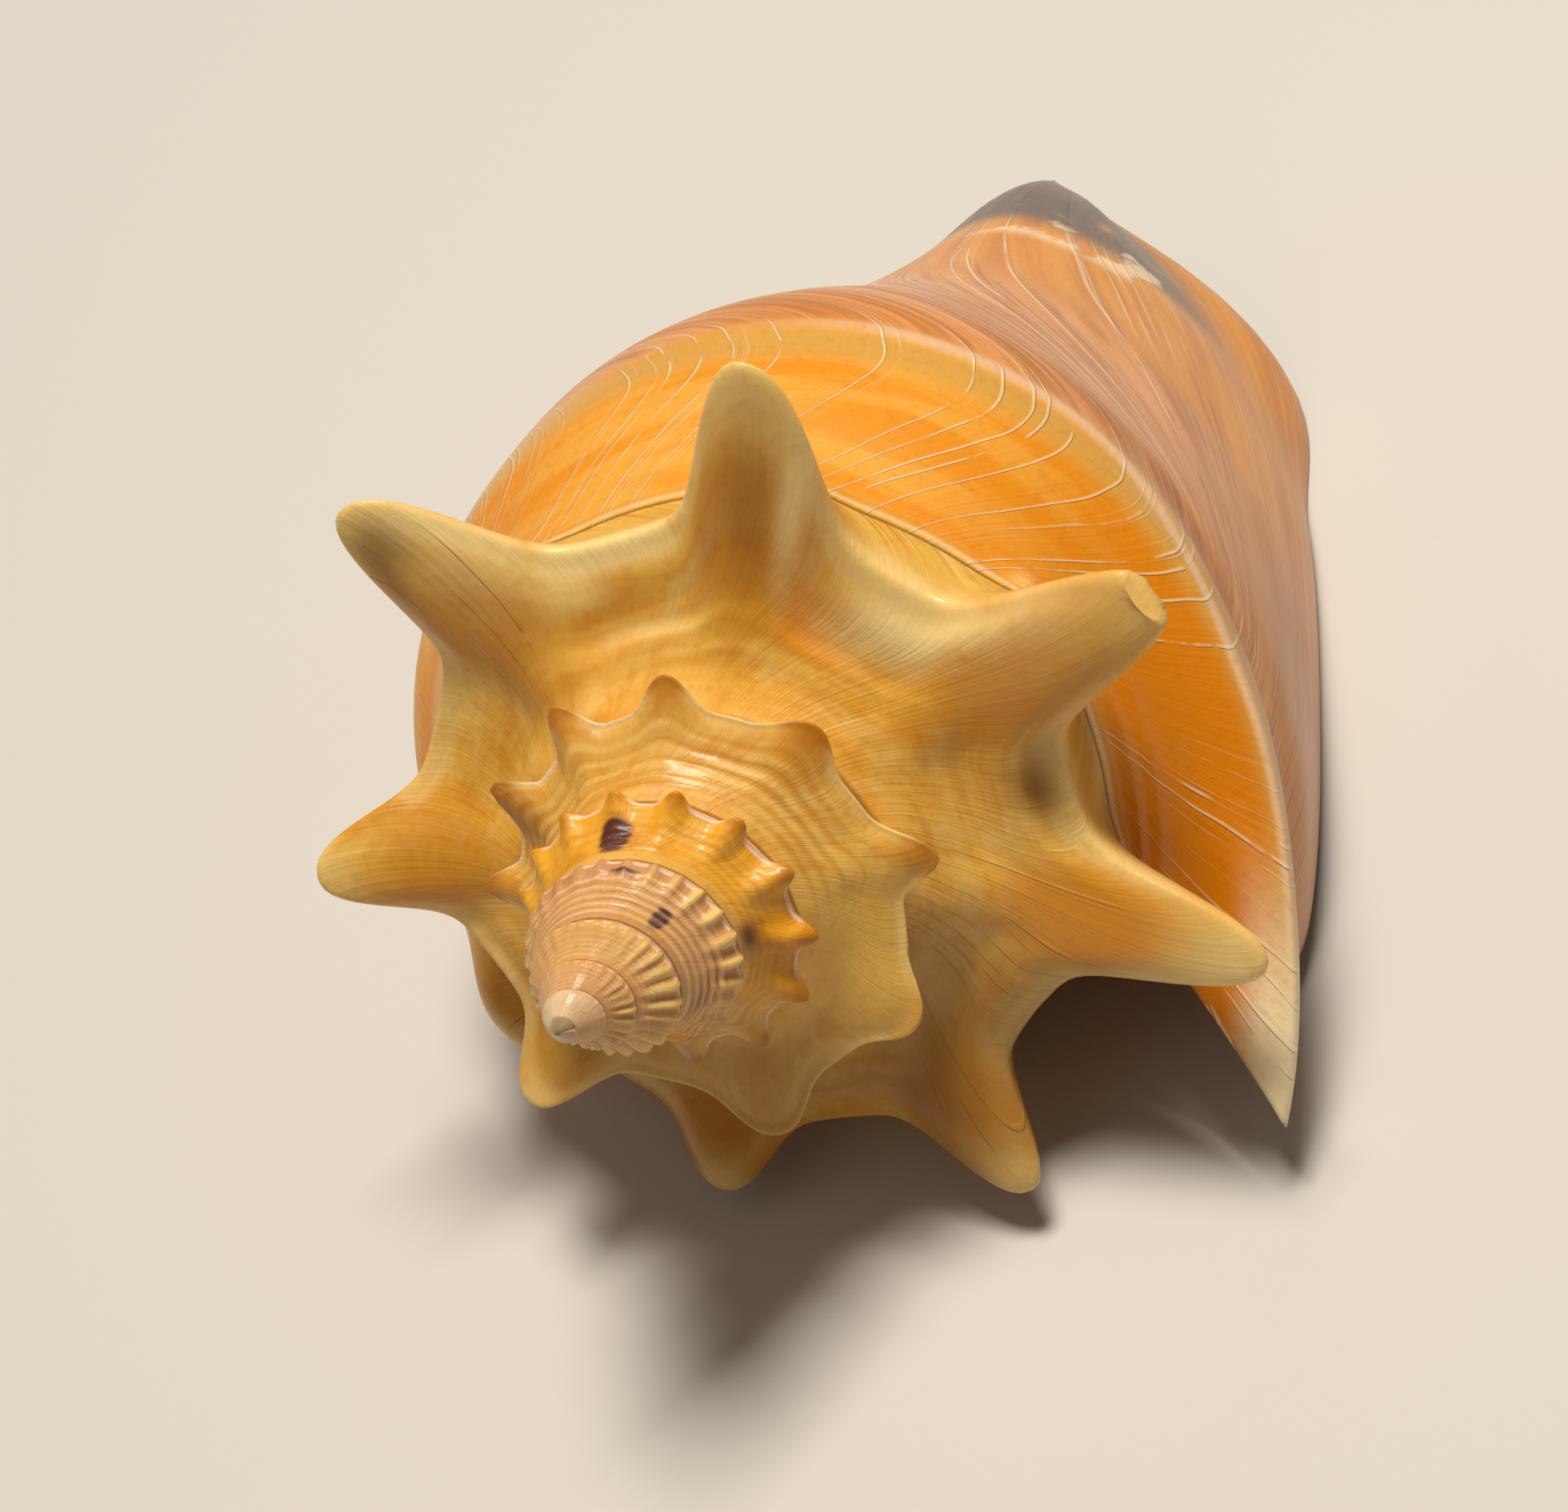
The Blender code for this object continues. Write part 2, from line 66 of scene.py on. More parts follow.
# Foot of the shoulder, where the next whorl joins: turn, step inward from the keel, drop below it
FOOT_STEP = [(-5.75, 0.1, 0.2), (-3.75, 0.15, 0.5), (-1.75, 0.4, 1.1), (-0.5, 0.3, 1.9), (-0.2, -0.9, 2.5),
             (0, -1.2, 3), (0.12, -2, 3.3), (0.25, -1.2, 3.6), (0.4, -0.6, 3.6), (0.6, 0.3, 3.6),
             (0.85, -0.2, 3.5), (1, -0.3, 3.5), (1.1, 0.2, 3.5), (1.2, 1.2, 4), (1.31, 2.4, 5)]
# Body of the last whorl: turn, radius, depth
SIDE_PATH = [(0.31, 19.5, 33), (0.6, 21, 36), (0.85, 22.3, 41.5), (1, 23.2, 46.5), (1.1, 23.6, 46),
             (1.2, 25.6, 44), (1.26, 28, 42), (1.31, 31, 41)]
WAIST_PATH = [(0.31, 13, 45), (0.6, 14.5, 50), (0.85, 16.8, 54.5), (1, 18.8, 57), (1.1, 20, 57),
              (1.2, 22.8, 56.5), (1.26, 25.2, 55.5), (1.31, 27.8, 55)]
BASE_PATH = [(0.31, 5, 57), (0.6, 6.4, 63), (0.85, 9.3, 69), (1, 12.4, 70.5), (1.1, 14, 70), (1.2, 18, 69),
             (1.26, 21.2, 69), (1.31, 23.2, 69)]
RIM_PATH = [(0.31, 2.2, 69), (0.6, 3.4, 77), (0.85, 4.5, 81), (1, 5.4, 82), (1.1, 5.8, 82), (1.2, 9, 81),
            (1.26, 14.6, 81), (1.31, 18, 82)]
TIP_PATH = [(0.31, 0.6, 72), (0.6, 0.6, 80), (0.85, 0.6, 85.5), (1, 0.6, 87), (1.1, 0.6, 87),
            (1.31, 0.6, 87.3)]
# How far the ramp sags below a straight line, as a part of its width
RAMP_SAG = [(-5.75, 0), (-1.75, 0.03), (-0.75, 0.06), (0, 0.075), (0.4, 0.07), (0.8, -0.03), (1, -0.07),
            (1.2, -0.02), (1.31, 0.03)]
# Turn at which the outer lip ends, by station
LIP_EDGE = [(SUTURE, 1.25), (0.4, 1.287), (0.8, 1.307), (KEEL, 1.313), (FOOT, 1.31), (SIDE, 1.297),
            (WAIST, 1.28), (BASE, 1.271), (RIM, 1.272), (TIP, 1.28)]

# The spire leans a little, and most at the apex: its sideways shift there, and the depth where it ends
SPIRE_LEAN, LEAN_DEPTH = (-0.4, -1.0), 22.0
# The siphonal canal bends away from the axis, toward the dorsal side
CANAL_BEND, BEND_DEPTH, CANAL_DEPTH, BEND_POWER = 14.0, 50.0, 87.0, 1.7

# Spines: turn, length, lift toward the apex, half widths on the older and the younger side
# in eighths of a turn
SPINES = [(-0.674, 2.2, 0.2, 0.2, 0.2), (-0.549, 3.3, 0.2, 0.18, 0.2), (-0.42, 4.6, 1.7, 0.14, 0.17),
          (-0.281, 6.1, 3.8, 0.16, 0.2), (-0.133, 9.9, 4.3, 0.155, 0.19), (0.006, 11.4, 3.1, 0.13, 0.19),
          (0.136, 12.9, 3, 0.15, 0.15), (0.2575, 11.5, 1.2, 0.15, 0.14), (0.378, 7.7, 1.3, 0.13, 0.16),
          (0.499, 4.4, 2, 0.14, 0.16), (0.609, 2.2, 1.6, 0.18, 0.22)]
# A thin crest along the keel: turn, height; and its half width in stations
CREST_HEIGHT = [(-4, 0), (-2.4, 0.12), (-1.2, 0.3), (0.3, 0.45), (0.6, 0.2), (0.8, 0)]
CREST_WIDTH = 0.07
# Nodules of the spire: turn, nodules left to grow before the first spine; and turn, length
NODULES_LEFT = [(-6, 116), (-5, 90), (-4, 62), (-3, 36), (-2.24, 18), (-1.907, 13), (-1.76, 11), (-1.28, 5),
                (-1.023, 2), (-0.796, 0), (-0.7, -1)]
NODULE_LENGTH = [(-6, 0.03), (-4, 0.1), (-3, 0.2), (-2.4, 0.4), (-1.95, 1), (-1.7, 1.15), (-1.3, 2.5),
                 (-1.1, 2.3), (-0.9, 1.8), (-0.76, 2), (-0.72, 0)]
# A spine's section: a full flank, and a low flare round its root that is this much of its length
FLANK_STEEPNESS, FLANK_POWER, FLARE, FLARE_WIDTH = 0.69, 2.4, 0.18, 2.5
# How far spines and nodules reach over the ramp and below the keel, in stations, and how squarely
RAMP_REACH, RAMP_POWER, BELOW_REACH, BELOW_POWER = 0.34, 1.6, 0.13, 1.7
NODULE_SHARPNESS = 2.2
# A whorl starts on the relief of the one before: stations over which that fades, and its own relief grows
TAKEN_REACH, HELD_REACH = 0.35, 0.25

# Cavity
WALL, LIP_WALL, LIP_TAPER = 1.6, 0.8, 0.05
PARIETAL_GAP, PARIETAL_TOP = 0.4, 2.6
CAVITY_START, CAVITY_OVERSHOOT = 0.5, 0.05
# Turns over which its inner end is rounded, and how blunt it starts
CAVITY_ROUNDING, BLIND_END = 0.12, 0.02
CAVITY_TOP, CAVITY_FLOOR, KEEL_CLEARANCE = 0.3, 2.35, 0.05
CANAL_BEGINS, CANAL_OPEN = 0.95, 1.2
MARGIN_BEGINS, MARGIN_OPEN, MARGIN_EXIT = 1.15, 1.24, 5.0
PILLAR_DEPTH, PILLAR_END, PILLAR_RADIUS, PILLAR_TIP_RADIUS = 64, 76, 3.0, 0.3
# Siphonal canal: depth, radius; it lies beside the axis, on its ventral side
CANAL_BORE = [(60, 0.4), (66, 1.6), (72, 2.9), (79, 3.3), (84, 2.4), (87, 2.1), (93, 2.4)]
CANAL_AZIMUTH, CANAL_OFFSET = math.radians(20), 1.7

# Fine mesh
FINE_SPIRE_START = -6.75
FINE_COLUMNS = 360
COLUMN_SHARES = (4, 4, 4, 2, 2, 2, 1, 1)
RAMP_STRIPS, BODY_STRIPS = 42, 46
APERTURE_COLUMNS = 27
CAVITY_STEPS, CAVITY_POINTS = 110, 40
CANAL_STEPS, CANAL_SIDES = 40, 48

# The camera in the growth frame, millimetres, and the picture's right and up there
CAMERA_PLACE = Vector((-130.6, 91.97, 213.19))
CAMERA_RIGHT = Vector((0.0522, 0.9440, -0.3257))
CAMERA_UP = Vector((-0.8940, -0.1011, -0.4364))
CAMERA_LENS = 119.9

# Coloured marks: turn, station, half widths of both, strength
MARKS = {
    # Brown marks: stains, and at turn 0.19 painted shade, partly brown, in the hollow between two spines
    "brown": [(-0.136, 0.885, 0.012, 0.06, 0.65), (0.011, 0.74, 0.01, 0.2, 0.3), (-1.2, 0.7, 0.02, 0.3, 0.5),
              (0.194, 0.9, 0.02, 0.1, 0.6), (-1.779, 0.23, 0.02, 0.12, 0.5), (-0.174, 0.5, 0.03, 0.1, 0.2),
              (-1.77, 0.27, 0.03, 0.25, 0.6), (-1.5, 0.8, 0.03, 0.12, 0.4), (0.19, 0.83, 0.016, 0.14, 0.35)],
    "plum": [(-2.045, 0.46, 0.024, 0.26, 0.95), (-2.9, 0.33, 0.018, 0.2, 0.8), (-3.0, 0.8, 0.03, 0.07, 0.5)],
    "warm": [(0.047, 0.62, 0.02, 0.17, 0.85), (0.066, 0.52, 0.03, 0.06, 0.7), (0.122, 0.78, 0.022, 0.22, 0.5),
             (0.255, 0.66, 0.024, 0.2, 0.7), (-0.075, 0.5, 0.03, 0.1, 0.4)],
    # Pale marks: worn pale patches, and painted light that brightens ramps and spine bases facing the camera
    "pale": [(0.027, 0.84, 0.006, 0.2, 0.8), (-0.118, 0.94, 0.014, 0.06, 0.6), (0.262, 0.93, 0.016, 0.1, 0.6),
             (0.094, 0.8, 0.034, 0.17, 1.0), (-0.06, 0.94, 0.05, 0.07, 0.85), (-0.1, 0.82, 0.03, 0.1, 0.6),
             (0.063, 0.62, 0.02, 0.1, 0.25), (1.117, 0.11, 0.004, 0.06, 0.5),
             (-0.054, 0.52, 0.03, 0.06, 0.45)],
}

# Spiral cords of the spire: how many, from which station to which, and their height
CORDS, CORDS_FROM, CORDS_TO, CORD_HEIGHT = 5, 0.16, 0.8, 0.14
# Heights of the old whorls' beads and of the golden ring's knobs, depth of the suture's groove, millimetres
BEAD_HEIGHT, KNOB_HEIGHT, GROOVE_DEPTH = 0.34, 0.5, 0.1
# A spine with a chipped tip: turns from and to, length left of it, and how deep the chip dips there
CHIP_FROM, CHIP_TO, CHIP_LENGTH, CHIP_DIP = 0.09, 0.19, 12.2, 0.4
# How far the apex stands over the oldest row, millimetres
APEX_RISE = 0.45
# Folds: turn, station, half widths, height
FOLDS = [(0.02, 0.47, 0.11, 0.05, 0.3), (0.03, 0.36, 0.1, 0.04, 0.22), (0.0, 0.58, 0.07, 0.04, 0.16),
         (0.2, 0.3, 0.08, 0.05, 0.2), (-0.1, 0.42, 0.06, 0.05, 0.12), (-0.88, 0.5, 0.12, 0.05, 0.1),
         (-0.9, 0.34, 0.12, 0.04, 0.1), (1.2, 0.17, 0.09, 0.035, 0.42), (1.21, 0.3, 0.09, 0.03, 0.36),
         (1.2, 0.07, 0.09, 0.025, 0.16), (1.23, 1.19, 0.1, 0.07, -0.4), (1.05, 1.05, 0.1, 0.035, 0.25),
         (1.21, 0.92, 0.07, 0.04, 0.35), (1.117, 0.11, 0.006, 0.07, 0.3)]
# Growth lines lean back from the keel toward older shell: station, turns; near the lip they follow its edge
SLANT = [(SUTURE, 0.045), (KEEL, 0), (1.1, 0.008), (1.3, 0.05), (SIDE, 0.1), (WAIST, 0.15), (BASE, 0.17),
         (TIP, 0.17)]
LIP_LINES_FROM, LIP_LINES_TO = 0.95, 1.22

# Lights: name, place from the shell's centre along the picture's right, its up and toward the camera, size in
# metres, power in watts
LIGHTS = [("key", (-0.14, 0.475, 0.49), 0.2, 5.7), ("fill", (-0.5, 0.1, 0.5), 0.6, 0.25)]
LIGHT_COLOUR = (1, 0.95, 0.87)
SHELL_CENTRE = (0, 0, 0.025)
WORLD_COLOUR, WORLD_STRENGTH = (1, 0.95, 0.88), 0.1
FLOOR_COLOUR, FLOOR_HALF_SIZE = (0.66, 0.62, 0.56), 1.5

# Where the growth frame's origin lies in the part's frame, millimetres
APEX = Vector((-3.627, -42.102, 34.28))
UP = Vector((-0.882, -0.103, 0.46))
BACK = Vector((0, 0, -1))


def curve(knots, x):
    """Smooth curve through (x, y) knots, straight beyond its ends."""
    kx = np.array([knot[0] for knot in knots], float)
    ky = np.array([knot[1] for knot in knots], float)
    x = np.asarray(x, float)
    return hermite(kx, ky.reshape((-1,) + (1,) * x.ndim) + np.zeros((1,) + x.shape), x)


def hermite(stations, values, x):
    """Cubic through values[i] at stations[i], read at x; a knot's slope is the mean of its neighbours'."""
    step = np.diff(stations)
    slope = np.diff(values, axis=0) / step.reshape((-1,) + (1,) * (values.ndim - 1))
    tangent = np.empty_like(values)
    tangent[0], tangent[-1] = slope[0], slope[-1]
    for j in range(1, len(stations) - 1):
        tangent[j] = (step[j] * slope[j - 1] + step[j - 1] * slope[j]) / (step[j] + step[j - 1])
    i = np.clip(np.searchsorted(stations, x, side="right") - 1, 0, len(step) - 1)
    place = tuple(np.indices(np.shape(x)))
    y0, y1 = values[(i,) + place], values[(i + 1,) + place]
    m0, m1 = tangent[(i,) + place] * step[i], tangent[(i + 1,) + place] * step[i]
    w = (x - np.asarray(stations)[i]) / step[i]
    u = np.clip(w, 0, 1)
    y = (1 + 2 * u) * (1 - u) ** 2 * y0 + u * u * (3 - 2 * u) * y1
    y = y + u * (1 - u) ** 2 * m0 + u * u * (u - 1) * m1
    return y + np.minimum(w, 0) * m0 + np.maximum(w - 1, 0) * m1


def path(table, t):
    """Radius and depth along a path table at turn t."""
    return curve([(row[0], row[1]) for row in table], t), curve([(row[0], row[2]) for row in table], t)


def foot(t):
    radius, depth = path(KEEL_PATH, t)
    inward, drop = path(FOOT_STEP, t)
    return radius - inward, depth + drop


def body(table, t):
    """A body path; before the last turn it shrinks with the keel."""
    start = table[0][0]
    radius, depth = path(table, np.maximum(t, start))
    keel_radius, keel_depth = path(KEEL_PATH, np.minimum(t, start))
    start_radius, start_depth = path(KEEL_PATH, np.full_like(t, start))
    size = keel_radius / start_radius
    early = t < start
    early_depth = keel_depth + (depth - start_depth) * size
    return np.where(early, radius * size, radius), np.where(early, early_depth, depth)


def profile(t, v):
    """Radius and depth of the bare whorl at turn t and station v."""
    suture_r, suture_z = foot(t - 1)
    keel_r, keel_z = path(KEEL_PATH, t)
    sag = curve(RAMP_SAG, t)
    dr, dz = keel_r - suture_r, keel_z - suture_z
    middle = (suture_r + 0.5 * dr - sag * dz, suture_z + 0.5 * dz + sag * dr)
    rings = [(suture_r, suture_z), middle, (keel_r, keel_z), foot(t)]
    rings += [body(table, t) for table in (SIDE_PATH, WAIST_PATH, BASE_PATH, RIM_PATH, TIP_PATH)]
    radius = np.stack([ring[0] for ring in rings])
    depth = np.stack([ring[1] for ring in rings])
    stations = np.array(STATIONS, float)
    return hermite(stations, radius, v), hermite(stations, depth, v)


def relief(t, y):
    """Outward and upward push of spines and nodules at turn t, y stations past the keel."""
    above = np.exp(-(np.abs(y) / RAMP_REACH) ** RAMP_POWER)
    ridge = np.where(y < 0, above, np.exp(-(np.abs(y) / BELOW_REACH) ** BELOW_POWER))
    out = np.zeros_like(t)
    up = np.zeros_like(t)
    for centre, length, lift, older, younger in SPINES:
        x = np.abs(t - centre) * 8 / np.where(t < centre, older, younger)
        flank = (1 - FLARE) * np.exp(-FLANK_STEEPNESS * x ** FLANK_POWER)
        shape = flank + FLARE * np.exp(-(x / FLARE_WIDTH) ** 2)
        out += length * shape * ridge
        up += lift * shape * ridge
    length = np.where(t < NODULE_LENGTH[-1][0], curve(NODULE_LENGTH, t), 0)
    out += length * (0.5 + 0.5 * np.cos(TAU * curve(NODULES_LEFT, t))) ** NODULE_SHARPNESS * ridge
    crest = np.clip(curve(CREST_HEIGHT, t), 0, None) * np.exp(-(y / CREST_WIDTH) ** 2)
    return out + crest, up + crest


def ornament(t, v):
    """The relief on a whorl, with what it takes over from the whorl before at its suture."""
    out, up = relief(t, v - KEEL)
    below_out, below_up = relief(t - 1, np.full_like(t, FOOT - KEEL))
    own_out, own_up = relief(t, np.full_like(t, SUTURE - KEEL))
    taken = np.clip(1 - v / TAKEN_REACH, 0, 1) ** 2
    held = np.clip(1 - v / HELD_REACH, 0, 1) ** 2
    return out + below_out * taken - own_out * held, up + below_up * taken - own_up * held


def place(t, radius, height):
    """Point in the growth frame from turn, radius and height, with the spire's lean and the canal's bend."""
    azimuth = AZIMUTH_OF_TURN_0 - TAU * t
    lean = np.clip(1 + height / LEAN_DEPTH, 0, 1)
    reach = np.clip((-height - BEND_DEPTH) / (CANAL_DEPTH - BEND_DEPTH), 0, 1.3)
    x = radius * np.cos(azimuth) + SPIRE_LEAN[0] * lean - CANAL_BEND * reach ** BEND_POWER
    y = radius * np.sin(azimuth) + SPIRE_LEAN[1] * lean
    return np.stack([x, y, height], -1)


def surface(t, v):
    """Points of the outer surface."""
    t, v = np.broadcast_arrays(np.asarray(t, float), np.asarray(v, float))
    radius, depth = profile(t, v)
    out, up = ornament(t, v)
    return place(t, radius + out, up - depth)


def lip_turn(v):
    return curve(LIP_EDGE, np.asarray(v, float))


def even(speed, count):
    """Samples of [0, 1], spaced evenly along the length whose speed is given on a fine grid."""
    length = np.concatenate([[0], np.cumsum(0.5 * (speed[1:] + speed[:-1]))])
    return np.interp(np.linspace(0, length[-1], count), length, np.linspace(0, 1, len(length)))


def columns(count):
    """Column places in one turn, closer together where a spine stands."""
    u = np.linspace(0, 1, 4000)
    speed = 0.02
    for start, span in ((BODY_START - 1, 1.0), (BODY_START, lip_turn(KEEL) - BODY_START)):
        ridge = surface(start + span * u, np.full_like(u, KEEL))
        speed = speed + np.linalg.norm(np.gradient(ridge, axis=0), axis=1)
    return even(speed, count + 1)


def fine_relief(t, v):
    """Height of the folds, cords and beads that the solid leaves out, millimetres."""
    phase = (v - CORDS_FROM) / (CORDS_TO - CORDS_FROM)
    here = ease(phase * 6) * ease((1 - phase) * 6) * ease((-0.78 - t) / 0.15) * ease((t + 3.7) / 0.4)
    here = here * (1 - 0.6 * ease((-1.6 - t) / 0.2) * ease((t + 2.7) / 0.2))
    uneven = 0.6 + 0.4 * np.sin(5.3 * TAU * t + 9 * v) * np.sin(2.1 * TAU * t)
    height = CORD_HEIGHT * cord_wave(t, v) * here * uneven
    for turn, station, turn_width, station_width, fold in FOLDS:
        away = np.abs((t - turn) / turn_width) ** 2.5 + ((v - station) / station_width) ** 2
        height += fold * np.exp(-away)
    height += BEAD_HEIGHT * bead(t, v)
    nodule = 0.5 + 0.5 * np.cos(TAU * curve(NODULES_LEFT, t))
    knob = np.exp(-(np.abs(v - 0.8) / 0.34) ** 3)
    height += KNOB_HEIGHT * nodule ** 2 * knob * lipward(t) * ease((-1.6 - t) / 0.2) * ease((t + 2.5) / 0.3)
    groove = np.exp(-(v / 0.03) ** 2) * ease((0.3 - t) / 0.1)
    return height - GROOVE_DEPTH * groove


def lipward(t):
    """Beads and ribs stand out most on the side toward the lip."""
    return 0.55 - 0.45 * np.cos(TAU * (t + 0.1))


def bead(t, v):
    """The ribs of the oldest whorls: 1 on the strongest."""
    nodule = 0.5 + 0.5 * np.cos(TAU * (curve(NODULES_LEFT, t) + 0.12 * np.sin(5.3 * TAU * t)))
    longer = 0.2 * ease((-3.4 - t) / 0.3)
    width = 0.24 + longer + 0.05 * np.sin(11 * TAU * t)
    rib = np.exp(-(np.abs(v - 0.86 + longer) / width) ** 3)
    return nodule ** 1.3 * rib * lipward(t) * ease((-2.5 - t) / 0.3) * ease((t + 5.7) / 1.6)


def cord_wave(t, v):
    phase = (v - CORDS_FROM) / (CORDS_TO - CORDS_FROM)
    return np.cos(TAU * (CORDS * phase + 0.12 * np.sin(3 * TAU * t)))


def fine_surface(t, v):
    """Points of the outer surface with the fine relief: it stands up on the ramp and outward on the side."""
    t, v = np.broadcast_arrays(np.asarray(t, float), np.asarray(v, float))
    radius, depth = profile(t, v)
    out, up = ornament(t, v)
    chipped = (t > CHIP_FROM) & (t < CHIP_TO) & (out > CHIP_LENGTH)
    out = np.where(chipped, CHIP_LENGTH - CHIP_DIP * (out - CHIP_LENGTH), out)
    height = fine_relief(t, v)
    tilt = 0.9 * ease((1.15 - v) / 0.3) + 0.1
    return place(t, radius + out + height * (1 - 0.5 * tilt), up - depth + height * tilt)


def wall_at(t, v):
    """Wall thickness: full inside, thinning to the lip's edge."""
    near = np.clip((lip_turn(v) - t) / LIP_TAPER, 0, 1)
    return LIP_WALL + (WALL - LIP_WALL) * near * (2 - near)


def inset(radius, depth, distance):
    """Points moved inward by a distance from a profile that runs outward and down, then softened."""
    dr, dz = np.gradient(radius), np.gradient(depth)
    length = np.hypot(dr, dz)
    moved = np.stack([radius - distance * dz / length, depth + distance * dr / length])
    for _ in range(2):
        moved[:, 1:-1] = 0.25 * moved[:, :-2] + 0.5 * moved[:, 1:-1] + 0.25 * moved[:, 2:]
    return moved


def ease(x):
    x = np.clip(x, 0, 1)
    return x * x * (3 - 2 * x)


def cavity_ring(t, count):
    """Closed ring round the cavity at turn t: down inside the outer wall, back up along the whorl before."""
    opening = ease((t - CANAL_BEGINS) / (CANAL_OPEN - CANAL_BEGINS))
    w = np.linspace(0, 1, count)
    floor = CAVITY_FLOOR + (TIP - CAVITY_FLOOR) * opening
    v = CAVITY_TOP + (floor - CAVITY_TOP) * w
    radius, depth = profile(np.full_like(v, t), v)
    outer_r, outer_z = inset(radius, depth, wall_at(t, v))
    before = np.linspace(FOOT + KEEL_CLEARANCE, RIM, 60)
    before_r, before_z = profile(np.full_like(before, t - 1), before)
    top_z = before_z[0] + PARIETAL_TOP
    inner_z = top_z + (outer_z[-1] - top_z) * w
    low = ease((inner_z - PILLAR_DEPTH) / (PILLAR_END - PILLAR_DEPTH))
    pillar = PILLAR_RADIUS + (PILLAR_TIP_RADIUS - PILLAR_RADIUS) * low
    inner_r = np.maximum(np.interp(inner_z, before_z, before_r) + PARIETAL_GAP, pillar)
    outer_r = np.maximum(outer_r, inner_r[-1] + 1)
    exit_drop = ease((t - MARGIN_BEGINS) / (MARGIN_OPEN - MARGIN_BEGINS)) * MARGIN_EXIT * w ** 8
    radius = np.concatenate([outer_r, inner_r[::-1]])
    depth = np.concatenate([outer_z + exit_drop, (inner_z + exit_drop)[::-1]])
    return radius, depth


class Skin:
    """Vertices, their turns and stations, and faces, gathered row by row with shared edges."""

    def __init__(self):
        self.points = []
        self.tags = []
        self.faces = []

    def add(self, points, turns, stations):
        first = len(self.points)
        self.points.extend(map(tuple, points))
        self.tags.extend(zip(np.broadcast_to(turns, len(points)), np.broadcast_to(stations, len(points))))
        return list(range(first, first + len(points)))

    def weave(self, a, b):
        """Faces between two rows of vertex numbers; where one row is coarser, its vertices are shared."""
        if len(a) < len(b):
            share = (len(b) - 1) // (len(a) - 1)
            a = [a[(i + share // 2) // share] for i in range(len(b))]
        for i in range(len(a) - 1):
            ring = list(dict.fromkeys([a[i], a[i + 1], b[i + 1], b[i]]))
            if len(ring) > 2:
                self.faces.append(ring)

    def mesh(self, name, matrix, inside):
        mesh = bpy.data.meshes.new(name)
        mesh.from_pydata([matrix @ Vector(point) for point in self.points], [], self.faces)
        for polygon in mesh.polygons:
            polygon.material_index = int(inside)
        bm = bmesh.new()
        bm.from_mesh(mesh)
        bmesh.ops.recalc_face_normals(bm, faces=bm.faces)
        bm.to_mesh(mesh)
        bm.free()
        return mesh


def outer_skin():
    """The shell as a filled solid, closed across the aperture."""
    skin = Skin()
    all_u = columns(FINE_COLUMNS)
    fine = np.linspace(0, 1, 2001)
    ramp_rows = FOOT * even(1 + 2.2 * np.exp(-((FOOT * fine - KEEL) / 0.14) ** 2), RAMP_STRIPS + 1)
    body_rows = FOOT + (TIP - FOOT) * np.linspace(0, 1, BODY_STRIPS + 1)
    end_column = None
    for whorl, share in enumerate(COLUMN_SHARES):
        u = all_u[::share]
        start = FINE_SPIRE_START + whorl
        last = whorl == len(COLUMN_SHARES) - 1
        if whorl == 0:
            rows = [skin.add(fine_surface(start + u, np.full_like(u, SUTURE)), start + u, SUTURE)]
            innermost = rows[0]
        else:
            rows = [rows[-1]]
        for v in ramp_rows[1:]:
            t = start + u * ((lip_turn(v) - start) if last else 1.0)
            points = fine_surface(t, np.full_like(u, v))
            if end_column:
                rows.append([end_column[len(rows)]] + skin.add(points[1:], t[1:], v))
            else:
                rows.append(skin.add(points, t, v))
        if whorl == 0:
            rows[-1][0] = rows[0][-1]
            first_column = [row[0] for row in rows]
        for a, b in zip(rows, rows[1:]):
            skin.weave(a, b)
        end_column = [row[-1] for row in rows]
    top = skin.points[innermost[0]][2]
    apex = skin.add([place(0.0, 0.0, top + APEX_RISE)], FINE_SPIRE_START - 1, SUTURE)[0]
    loop = innermost + first_column[-2::-1]
    for a, b in zip(loop, loop[1:]):
        if a != b:
            skin.faces.append([a, b, apex])
    rows = [rows[-1]]
    for v in body_rows[1:]:
        t = BODY_START + u * (lip_turn(v) - BODY_START)
        rows.append(skin.add(fine_surface(t, np.full_like(u, v)), t, v))
    for a, b in zip(rows, rows[1:]):
        skin.weave(a, b)
    close_aperture(skin, [row[0] for row in rows], end_column + [row[-1] for row in rows[1:]], rows[-1])
    return skin


def close_aperture(skin, root, lip, tip):
    """Fills the loop of the body's first edge, the lip and the anterior tip."""
    points = np.array(skin.points)
    w = np.linspace(0, 1, len(lip))
    previous = [root[i] for i in np.round(w * (len(root) - 1)).astype(int)]
    start, end = points[previous], points[lip]
    last = 0
    for j in range(1, APERTURE_COLUMNS + 1):
        a = j / APERTURE_COLUMNS
        here = round(a * (len(tip) - 1))
        if j == APERTURE_COLUMNS:
            current = list(lip)
        else:
            row = (1 - a) * start + a * end
            row = row + (w[:, None] ** 6) * (points[tip[here]] - row[-1])
            current = [lip[0]] + skin.add(row[1:-1], 1.3, FOOT) + [tip[here]]
        skin.weave(previous[:-1], current[:-1])
        ring = list(dict.fromkeys([previous[-2], *tip[last: here + 1], current[-2]]))
        skin.faces.append(ring)
        previous, last = current, here


